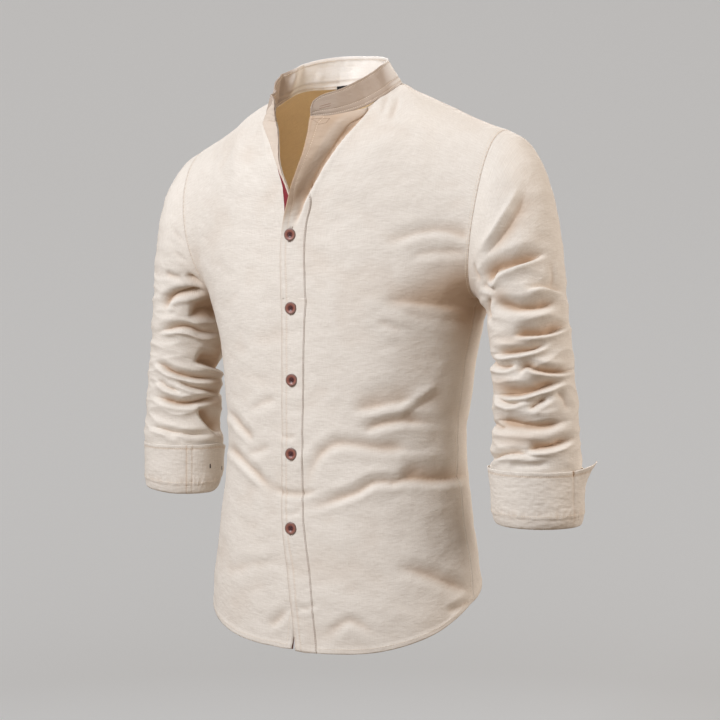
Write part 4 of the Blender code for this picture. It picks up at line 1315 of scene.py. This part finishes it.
def make_sleeves(finishes):
    turns = spaced((0, 2 * math.pi), (150,))
    rings = spaced((0, 0.1, 0.87, 0.97), (20, 226, 12))
    for name, side, node in (
        ("left_sleeve_cloth", 1, "sleeve_left"),
        ("right_sleeve_cloth", -1, "sleeve_right"),
    ):
        piece = cloth(
            name,
            turns,
            rings,
            lambda a, t, s=side: sleeve_surface(a, t, s),
            finishes,
            size=(0.055, 0.46),
            tube=True,
            turned=side < 0,
        )
        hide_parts(node)


def make_cuffs(finishes):
    ways = spaced((0, CUFF_ROUND - 1.0, CUFF_ROUND), (190, 60))
    ups = spaced((-1, -0.06, 0.06, 1), (6, 10, 50))
    for name, side, node in (
        ("left_cuff_cloth", 1, "cuff_left"),
        ("right_cuff_cloth", -1, "cuff_right"),
    ):
        piece = cloth(
            name,
            ways,
            ups,
            cuff(side),
            finishes,
            size=(0.055, 0.07),
        )
        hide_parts(node)


def make_collar(finishes):
    piece = cloth(
        "collar_band_cloth",
        spaced((-1, 1), (260,)),
        spaced((0, 1), (34,)),
        collar_surface,
        finishes,
        wall=COLLAR_WALL,
        size=(0.24, 0.036),
    )
    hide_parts("collar_band")


def make_tape(finish):
    start, end = TAPE_EDGES

    def surface(across, up):
        narrow = 1 - 0.8 * ease(up, TAPE_TOP - 0.10, TAPE_TOP)
        share = start + (end - start) * across * narrow
        point, painted_shade = worn(front_surface(share, up, -1), "right")
        low = 1 - ease(point[..., 2], SLIT_TOP - 0.01, SLIT_TOP + 0.01)
        point[..., 0] += SLIT_SHOW * low * (1 - across)
        return point + outward(point) * (LAYER * (1 - 2 * low))[..., None], painted_shade

    piece = cloth(
        "front_tape_ribbon",
        spaced((0, 1), (8,)),
        spaced((0, 1 - YOKE_SHARE, TAPE_TOP), (60, 80)),
        surface,
        [finish],
        wall=THIN_WALL,
        size=(0.012, 0.6),
    )
    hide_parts("front_tape")


def make_label(finish):
    def surface(across, up):
        low, painted_shade = worn(back_surface(across, np.minimum(up, 1.0)), "plain")
        low = low - outward(low) * LAYER
        along = across / BACK_NECK_SHARE * SHOULDER_AT
        high, _ = collar_surface(along, np.clip((up - 1) / COLLAR_ROWS, 0, 1))
        high = high - unit(outward(high) * (1, 1, 0)) * (COLLAR_WALL / 2 + THIN_WALL)
        return low + (high - low) * ease(up, 0.994, 1.001)[..., None], painted_shade

    piece = cloth(
        "neck_label_cloth",
        spaced((-0.176, 0.068), (20,)),
        spaced((0.968, 1.010), (24,)),
        surface,
        [finish],
        wall=THIN_WALL,
        size=(0.3, 0.3),
    )
    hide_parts("neck_label")


BUTTON_TILT = 0.75
BUTTON_PROFILE = (
    (0.0, 0.0007), (0.34, 0.0007), (0.44, 0.0010), (0.52, 0.0015), (0.66, 0.0018), (0.80, 0.0020),
    (0.93, 0.0018), (1.0, 0.0011), (0.98, 0.0004), (0.88, 0.0), (0.0, 0.0),
)


def button_at(name, place, way, finish, hole_finish):
    """A four-hole button: a turned rim round a dished middle, with thread in its holes."""
    bm = bmesh.new()
    ring = bm.verts.layers.float.new("ring")
    lathe(bm, [(share * BUTTON_RADIUS, z) for share, z in BUTTON_PROFILE], 40, 1e-6)
    for vert in bm.verts:
        vert[ring] = math.hypot(vert.co.x, vert.co.y) / BUTTON_RADIUS
    turned = Vector(way).to_track_quat("Z", "Y").to_matrix().to_4x4()
    turned = Matrix.Translation(Vector(place)) @ turned
    bmesh.ops.transform(bm, matrix=turned, verts=bm.verts)
    piece = keep(f"{name}_turned", bm, [finish])
    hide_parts(name)
    bm = bmesh.new()
    for dx, dy in ((1, 1), (1, -1), (-1, 1), (-1, -1)):
        spot = Matrix.Translation((dx * HOLE_ASIDE, dy * HOLE_ASIDE, 0.0007))
        bmesh.ops.create_cone(
            bm, cap_ends=True, segments=12, radius1=HOLE_RADIUS, radius2=HOLE_RADIUS,
            depth=0.0003, matrix=spot,
        )
    for turn in (math.pi / 4, -math.pi / 4):
        strand = Matrix.Rotation(turn, 4, "Z") @ Matrix.Diagonal(STRAND)
        strand = Matrix.Translation((0, 0, 0.0009)) @ strand
        bmesh.ops.create_uvsphere(bm, u_segments=8, v_segments=5, radius=0.5, matrix=strand)
    bmesh.ops.transform(bm, matrix=turned, verts=bm.verts)
    keep(f"{name}_holes", bm, [hole_finish])


def button_spots():
    """Where the buttons sit on the placket strip: columns, rows and points."""
    boxes = [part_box(f"button_{k}") for k in range(1, 6)]
    middles = np.array([(low + high) / 2 for low, high in boxes])
    columns, rows = at_spots(placket, seen(middles), (0, 1), (0.05, 0.95))
    return columns, rows, placket(columns, rows)[0]


def make_buttons(finish, hole_finish):
    points = button_spots()[2]
    for k, point in enumerate(points, 1):
        way = unit(outward(point) - AHEAD * BUTTON_TILT)
        base = point + outward(point) * (WALL / 2 + BUTTON_GAP)
        button_at(f"button_{k}", base, way, finish, hole_finish)


# ==== sewing
def normals(surface, columns, rows, points, centre):
    """The way out of a surface at points, away from an upright line through centre."""
    step = 1e-3
    inward = np.where(columns > 0.5, -step, step)
    lower = np.where(rows > 0.5, -step, step)
    a = (surface(columns + inward, rows)[0] - points) * np.sign(inward)[:, None]
    b = (surface(columns, rows + lower)[0] - points) * np.sign(lower)[:, None]
    way = unit(np.cross(a, b))
    away = points[:, :2] - np.array(centre)
    return way * np.sign((way[:, :2] * away).sum(-1) + 0.02 * way[:, 2])[:, None]


def beads(points, ways, pitch, size):
    """Where stitches at even steps along a line of points lie: their middles and three axes."""
    steps = np.linalg.norm(np.diff(points, axis=0), axis=1)
    length = np.concatenate([[0], np.cumsum(steps)])
    stops = np.arange(pitch / 2, length[-1], pitch)

    def at(where, values):
        return np.stack([np.interp(where, length, values[:, k]) for k in range(3)], -1)

    way = unit(at(stops, ways))
    run = unit(at(stops + pitch / 4, points) - at(stops - pitch / 4, points))
    across = unit(np.cross(way, run))
    axes = np.stack([across * size[1], way * size[2], run * size[0]], 1)
    return at(stops, points), axes


Row = namedtuple("Row", "surface columns rows centre out", defaults=((0, 0), 1))
THREAD = (0.0021, 0.0008, 0.0005)
PITCH = 0.0028
# shares of a piece at which its rows of stitches run
EDGE_STITCHES = 0.020
ARMHOLE_STITCHES = (0.974, 0.991)
SEAM_STITCHES = 0.985
CUFF_END_STITCHES = (0.05, 0.13)  # from the cuff's end, in radians


def stitch(name, rows_of_stitches, finish, lift=WALL / 2, pitch=PITCH, thread=THREAD):
    """Rows of stitches on the outside of surfaces, or on the inside where out is -1."""
    single = bmesh.new()
    bmesh.ops.create_uvsphere(single, u_segments=5, v_segments=3, radius=0.5)
    form = np.array([v.co[:] for v in single.verts])
    bead = bpy.data.meshes.new("bead")
    single.to_mesh(bead)
    single.free()
    bm = bmesh.new()
    spots = []
    for row in rows_of_stitches:
        columns, rows = np.array(row.columns, float), np.array(row.rows, float)
        columns, rows = columns + 0 * rows, rows + 0 * columns
        points, _ = row.surface(columns, rows)
        ways = normals(row.surface, columns, rows, points, row.centre) * row.out
        middles, axes = beads(points + ways * lift, ways, pitch, thread)
        spots.append(middles[:, None] + form @ axes)
        for _ in middles:
            bm.from_mesh(bead)
    for vert, spot in zip(bm.verts, np.concatenate(spots).reshape(-1, 3)):
        vert.co = spot
    bpy.data.meshes.remove(bead)
    return keep(name, bm, [finish])


def at_spots(surface, spots, columns, rows):
    """The columns and rows at which a surface shows at spots of the photograph."""
    grid = np.meshgrid(np.linspace(*columns, 240), np.linspace(*rows, 240))
    grid = [side.ravel() for side in grid]
    points, _ = surface(*grid)
    near = seen(points) - np.array(spots)[:, None]
    nearest = (near * near).sum(-1).argmin(1)
    return grid[0][nearest], grid[1][nearest]


def front(side, layer):
    return lambda a, u: worn(front_surface(a, u, side), layer, u)


def back(across, up):
    return worn(back_surface(across, up), "plain", up)


def placket(across, up):
    yoke = skirt_and_yoke(up)[1]
    height = UNDERARM + (NECK_PIT - UNDERARM) * climb(yoke)
    width = np.where(yoke > 0, smooth(PLACKET_STRIP, "share", height), PLACKET_SHARE)
    point, painted_shade = worn(front_surface(across * width, up, 1), "left", up)
    lift = LAYER * (1 - across**8 * (0.5 + 0.3 * ease(height, -0.145, -0.115)))
    groove = np.exp(-(((across - PLACKET_OUTER_STITCHES) / 0.035) ** 2))
    lift = lift - 0.0004 * groove + 0.0003 * crumple(point, (0.008, 0.008, 0.006), 2.0)
    # painted shade in the stitched groove and a painted shadow along the strip's outer edge
    painted_shade = painted_shade + 0.3 * groove + 0.35 * np.exp(-(((across - 0.02) / 0.05) ** 2))
    return point + outward(point) * lift[..., None], np.clip(painted_shade, 0, 1)


def cuff(side):
    return lambda w, u: cuff_surface(w, u, side)


def make_stitches(thread, brown, dark):
    top = 1 - YOKE_SHARE
    up = np.linspace(0.004, 0.985, 500)
    yoke = np.linspace(top + 0.004, 0.992, 200)
    skirt = np.linspace(0.004, top - 0.004, 200)
    left, right = front(1, "left"), front(-1, "right")
    strip = np.linspace(0.004, 0.848, 500)
    # brown thread along the strip's inner edge, a line darker than the cloth: partly real
    # stitching, partly painted seam shadow
    stitch("placket_stitches", [Row(placket, PLACKET_INNER_STITCHES, strip)], brown)
    edges = [Row(placket, PLACKET_OUTER_STITCHES, up)]
    edges.append(Row(right, EDGE_STITCHES, np.linspace(0.004, 0.80, 400)))
    stitch("front_edge_stitches", edges, thread)
    armholes = []
    for share in ARMHOLE_STITCHES:
        armholes += [Row(left, share, yoke), Row(right, share, yoke)]
        armholes += [Row(back, share, yoke), Row(back, -share, yoke)]
    stitch("armhole_stitches", armholes, thread)
    across = np.linspace(0.012, 0.988, 300)
    hems = [Row(left, across, HEM_STITCHES), Row(right, across, HEM_STITCHES)]
    hems.append(Row(back, np.linspace(-0.99, 0.99, 500), HEM_STITCHES))
    stitch("hem_stitches", hems, thread)
    seams = [Row(left, SEAM_STITCHES, skirt), Row(right, SEAM_STITCHES, skirt)]
    seams += [Row(back, k * np.linspace(0.37, 0.98, 100), SEAM_STITCHES) for k in (1, -1)]
    stitch("side_and_shoulder_stitches", seams, thread)
    along = np.linspace(-0.985, 0.985, 500)
    rows = [Row(collar_surface, along, k, COLLAR_CENTRE) for k in COLLAR_STITCHES]
    rows += [Row(collar_surface, along, k, COLLAR_CENTRE, -1) for k in (0.08, 0.90)]
    stitch("collar_stitches", rows, thread, lift=COLLAR_WALL / 2)
    ways = np.linspace(0.02, CUFF_ROUND - 0.03, 500)
    rows = []
    for side in (1, -1):
        centre = (side * CUFF_CENTRE_X, 0)
        rows += [Row(cuff(side), ways, k, centre) for k in (CUFF_HEM - 0.01, CUFF_SEAM + 0.03)]
        end = np.linspace(0.05, 0.95, 60)
        rows += [Row(cuff(side), CUFF_ROUND - gap, end, centre) for gap in CUFF_END_STITCHES]
    stitch("cuff_stitches", rows, thread)
    make_small_sewing(brown, dark)


def make_small_sewing(brown, dark):
    """Buttonholes, the little stitched corner under the collar and the marks on the right cuff."""
    fine, thick = (0.0012, 0.0008, 0.0006), (0.0040, 0.0009, 0.0006)
    rows, slit_shades = [], []
    for column, row in zip(*button_spots()[:2]):
        reach = np.linspace(-BUTTONHOLE_HALF, BUTTONHOLE_HALF, 12) / BODY_CUT[1]
        for aside in (-0.04, 0.04):
            rows.append(Row(placket, column + aside, row + reach))
        slit_shades.append(Row(placket, column + 0 * reach, row + reach))
    hole = [(319.5, 107.5), (330.5, 104.5)]
    column, row = at_spots(collar_surface, hole, (0.8, 1.0), (0.1, 0.9))
    share = np.linspace(0, 1, 12)
    columns = column[0] + (column[1] - column[0]) * share
    line = row[0] + (row[1] - row[0]) * share
    rows += [Row(collar_surface, columns, line + aside, COLLAR_CENTRE) for aside in (-0.05, 0.05)]
    slit_shades.append(Row(collar_surface, columns, line, COLLAR_CENTRE))
    stitch("buttonhole_stitches", rows, brown, lift=COLLAR_WALL / 2, pitch=0.0009, thread=fine)
    # the slits are dark beads along each cut: painted shade of the open slit
    stitch("buttonhole_slit_shade", slit_shades, dark, lift=WALL / 2, pitch=0.0030, thread=thick)
    corner = [(311, 119), (319, 124.5), (326, 123), (330, 118.5), (311, 119)]
    column, row = at_spots(placket, corner, (0, 1), (0.9, 1.0))
    share = np.linspace(0, len(corner) - 1, 60)
    columns = np.interp(share, np.arange(len(corner)), column)
    line = np.interp(share, np.arange(len(corner)), row)
    corner = [Row(placket, columns, line)]
    stitch("collar_corner_stitches", corner, brown, pitch=0.0016, thread=fine)
    marks = []
    for x, y in ((210, 466), (221.5, 468)):
        column, row = at_spots(cuff(-1), [(x, y - 2), (x, y + 2)], (5.3, 6.5), (0.1, 0.9))
        for aside in (-0.010, 0.010):
            marks.append(Row(cuff(-1), column + aside, row, (-CUFF_CENTRE_X, 0)))
    stitch("cuff_thread_marks", marks, dark, pitch=0.0019, thread=(0.0030, 0.0012, 0.0009))


# ==== the stage
STAGE_FLOOR = -1.42
STAGE_RADIUS = 4.2
STAGE_CURVE = 1.6
STAGE_WALL = 4.0
LIGHTS_AIM = (0, 0, -0.35)
COOL = (0.955, 1.0, 1.065)
# turn is round the shirt from the camera, positive to the image's right
Light = namedtuple("Light", "name turn height distance size watts tint spread")
LIGHTS = rows_of(
    Light,
    ("key", -43, 1.30, 2.7, 1.2, 90, COOL, 180),
    ("top", -20, 2.9, 1.0, 1.2, 4, COOL, 180),
    ("edge", 80, 0.7, 2.8, 1.4, 45, (1.04, 0.98, 0.93), 180),
    ("behind", 178, 1.6, 2.9, 1.6, 6, (1.0, 1.0, 1.0), 46),
)
THROUGH_CLOTH_WATTS = 0.24
THROUGH_CLOTH_AT = (0, -0.02, -0.17)
PAPER = (0.655, 0.705, 0.745)
PAPER_GLOW = 0.162
AIR = (1.0, 0.78, 0.60)
AIR_STRENGTH = 0.25


def make_stage(finish):
    """A round floor whose rim curves up into a wall, all one pale surface."""
    bm = bmesh.new()
    flat = STAGE_RADIUS - STAGE_CURVE
    line = [(0, STAGE_FLOOR), (flat, STAGE_FLOOR)]
    for k in range(1, 13):
        a = k / 12 * math.pi / 2
        reach = flat + STAGE_CURVE * math.sin(a)
        line.append((reach, STAGE_FLOOR + STAGE_CURVE * (1 - math.cos(a))))
    line.append((STAGE_RADIUS, STAGE_WALL))
    lathe(bm, line, 64, 1e-5)
    bmesh.ops.reverse_faces(bm, faces=bm.faces)
    mesh = bpy.data.meshes.new("studio_floor")
    bm.to_mesh(mesh)
    bm.free()
    floor = placed("studio_floor", mesh)
    mesh.materials.append(finish)
    mesh.shade_smooth()
    floor.visible_diffuse = False


def make_light(light):
    """A soft square light that looks at the shirt."""
    glow = bpy.data.lights.new(light.name, "AREA")
    glow.size = light.size
    glow.energy = light.watts
    glow.color = light.tint
    glow.spread = math.radians(light.spread)
    lamp = placed(light.name, glow)
    a = VIEW_TURN + math.radians(light.turn)
    place = Vector((math.sin(a) * light.distance, -math.cos(a) * light.distance, light.height))
    lamp.location = place
    lamp.rotation_euler = (Vector(LIGHTS_AIM) - place).to_track_quat("-Z", "Y").to_euler()
    lamp.visible_camera = False


def make_inner_light():
    """A small lamp inside the neck, for the light that comes through the thin cloth."""
    glow = bpy.data.lights.new("through_the_cloth", "POINT")
    glow.energy = THROUGH_CLOTH_WATTS
    glow.shadow_soft_size = 0.04
    glow.color = (1.0, 0.93, 0.82)
    lamp = placed("through_the_cloth", glow)
    lamp.location = THROUGH_CLOTH_AT
    lamp.visible_camera = False


def make_camera():
    camera = bpy.data.cameras.new("camera")
    camera.lens = LENS
    camera.sensor_width = SENSOR
    camera.shift_y = (HORIZON - IMAGE / 2) / IMAGE
    camera.clip_end = 50
    eye = placed("camera", camera)
    eye.location = EYE
    eye.rotation_euler = Vector(AHEAD).to_track_quat("-Z", "Y").to_euler()
    bpy.context.scene.camera = eye


def make_world():
    world = bpy.data.worlds.new("studio_air")
    bpy.context.scene.world = world
    world.use_nodes = True
    sky = world.node_tree.nodes["Background"]
    sky.inputs["Color"].default_value = colour(*AIR)
    sky.inputs["Strength"].default_value = AIR_STRENGTH


Cut = namedtuple("Cut", "piece width length share held rests_on")
CUTS = rows_of(
    Cut,
    ("left_front_cloth", 0.30, 0.72, 0.85, "draped", ("collar_band_cloth", "back_cloth")),
    ("right_front_cloth", 0.30, 0.72, 0.85, "draped", ("collar_band_cloth", "back_cloth")),
    ("back_cloth", 0.56, 0.76, 0.85, "draped", ("collar_band_cloth",)),
    ("left_placket_cloth", 0.030, 0.68, 1.0, "laid", ("left_front_cloth",)),
    ("right_turned_edge_cloth", 0.018, 0.14, 0.6, "folded", ("right_front_cloth",)),
    ("left_sleeve_cloth", 0.42, 0.46, 0.78, "draped", ("left_front_cloth", "back_cloth")),
    ("right_sleeve_cloth", 0.42, 0.46, 0.78, "draped", ("right_front_cloth", "back_cloth")),
    ("left_cuff_cloth", 0.37, 0.10, 1.0, "folded", ("left_sleeve_cloth",)),
    ("right_cuff_cloth", 0.37, 0.10, 1.0, "folded", ("right_sleeve_cloth",)),
    ("collar_band_cloth", 0.43, 0.040, 0.9, "folded", ("back_cloth",)),
    ("front_tape_ribbon", 0.014, 0.62, 1.0, "laid", ("right_front_cloth",)),
    ("neck_label_cloth", 0.075, 0.014, 1.0, "laid", ("back_cloth",)),
)


def declare_sheets():
    for cut in CUTS:
        None if cut.share == 1 else cut.share * cut.width * cut.length


def main():
    outside = linen("linen", *LINEN_OUTSIDE)
    cloth_pair = [outside, linen("linen_inside_painted_shade", *LINEN_INSIDE_PAINTED_SHADE)]
    make_body(cloth_pair)
    make_placket([outside])
    make_turned_edge([outside])
    make_sleeves(cloth_pair)
    make_cuffs([outside])
    make_collar([linen("collar_linen_painted_light", *LINEN_COLLAR_PAINTED_LIGHT)])
    make_tape(plain("tape_weave", (0.20, 0.012, 0.02), 0.75))
    make_label(plain("label_weave", (0.006, 0.006, 0.008), 0.8))
    make_buttons(horn("button_horn"), plain("button_thread", (0.045, 0.010, 0.010), 0.8))
    paper = plain("studio_paper", PAPER, 0.95, 300.0, 0.0)
    glow = paper.node_tree.nodes["Principled BSDF"].inputs
    glow["Emission Color"].default_value = colour(1, 1, 1)
    glow["Emission Strength"].default_value = PAPER_GLOW
    make_stage(paper)
    make_stitches(
        plain("cream_thread", (0.80, 0.70, 0.58), 0.7),
        plain("brown_thread", (0.30, 0.185, 0.13), 0.7),
        plain("dark_thread", (0.035, 0.018, 0.016), 0.7),
    )
    declare_sheets()
    for light in LIGHTS:
        make_light(light)
    make_inner_light()
    make_world()
    make_camera()
    bpy.context.scene.view_settings.view_transform = "Standard"


main()
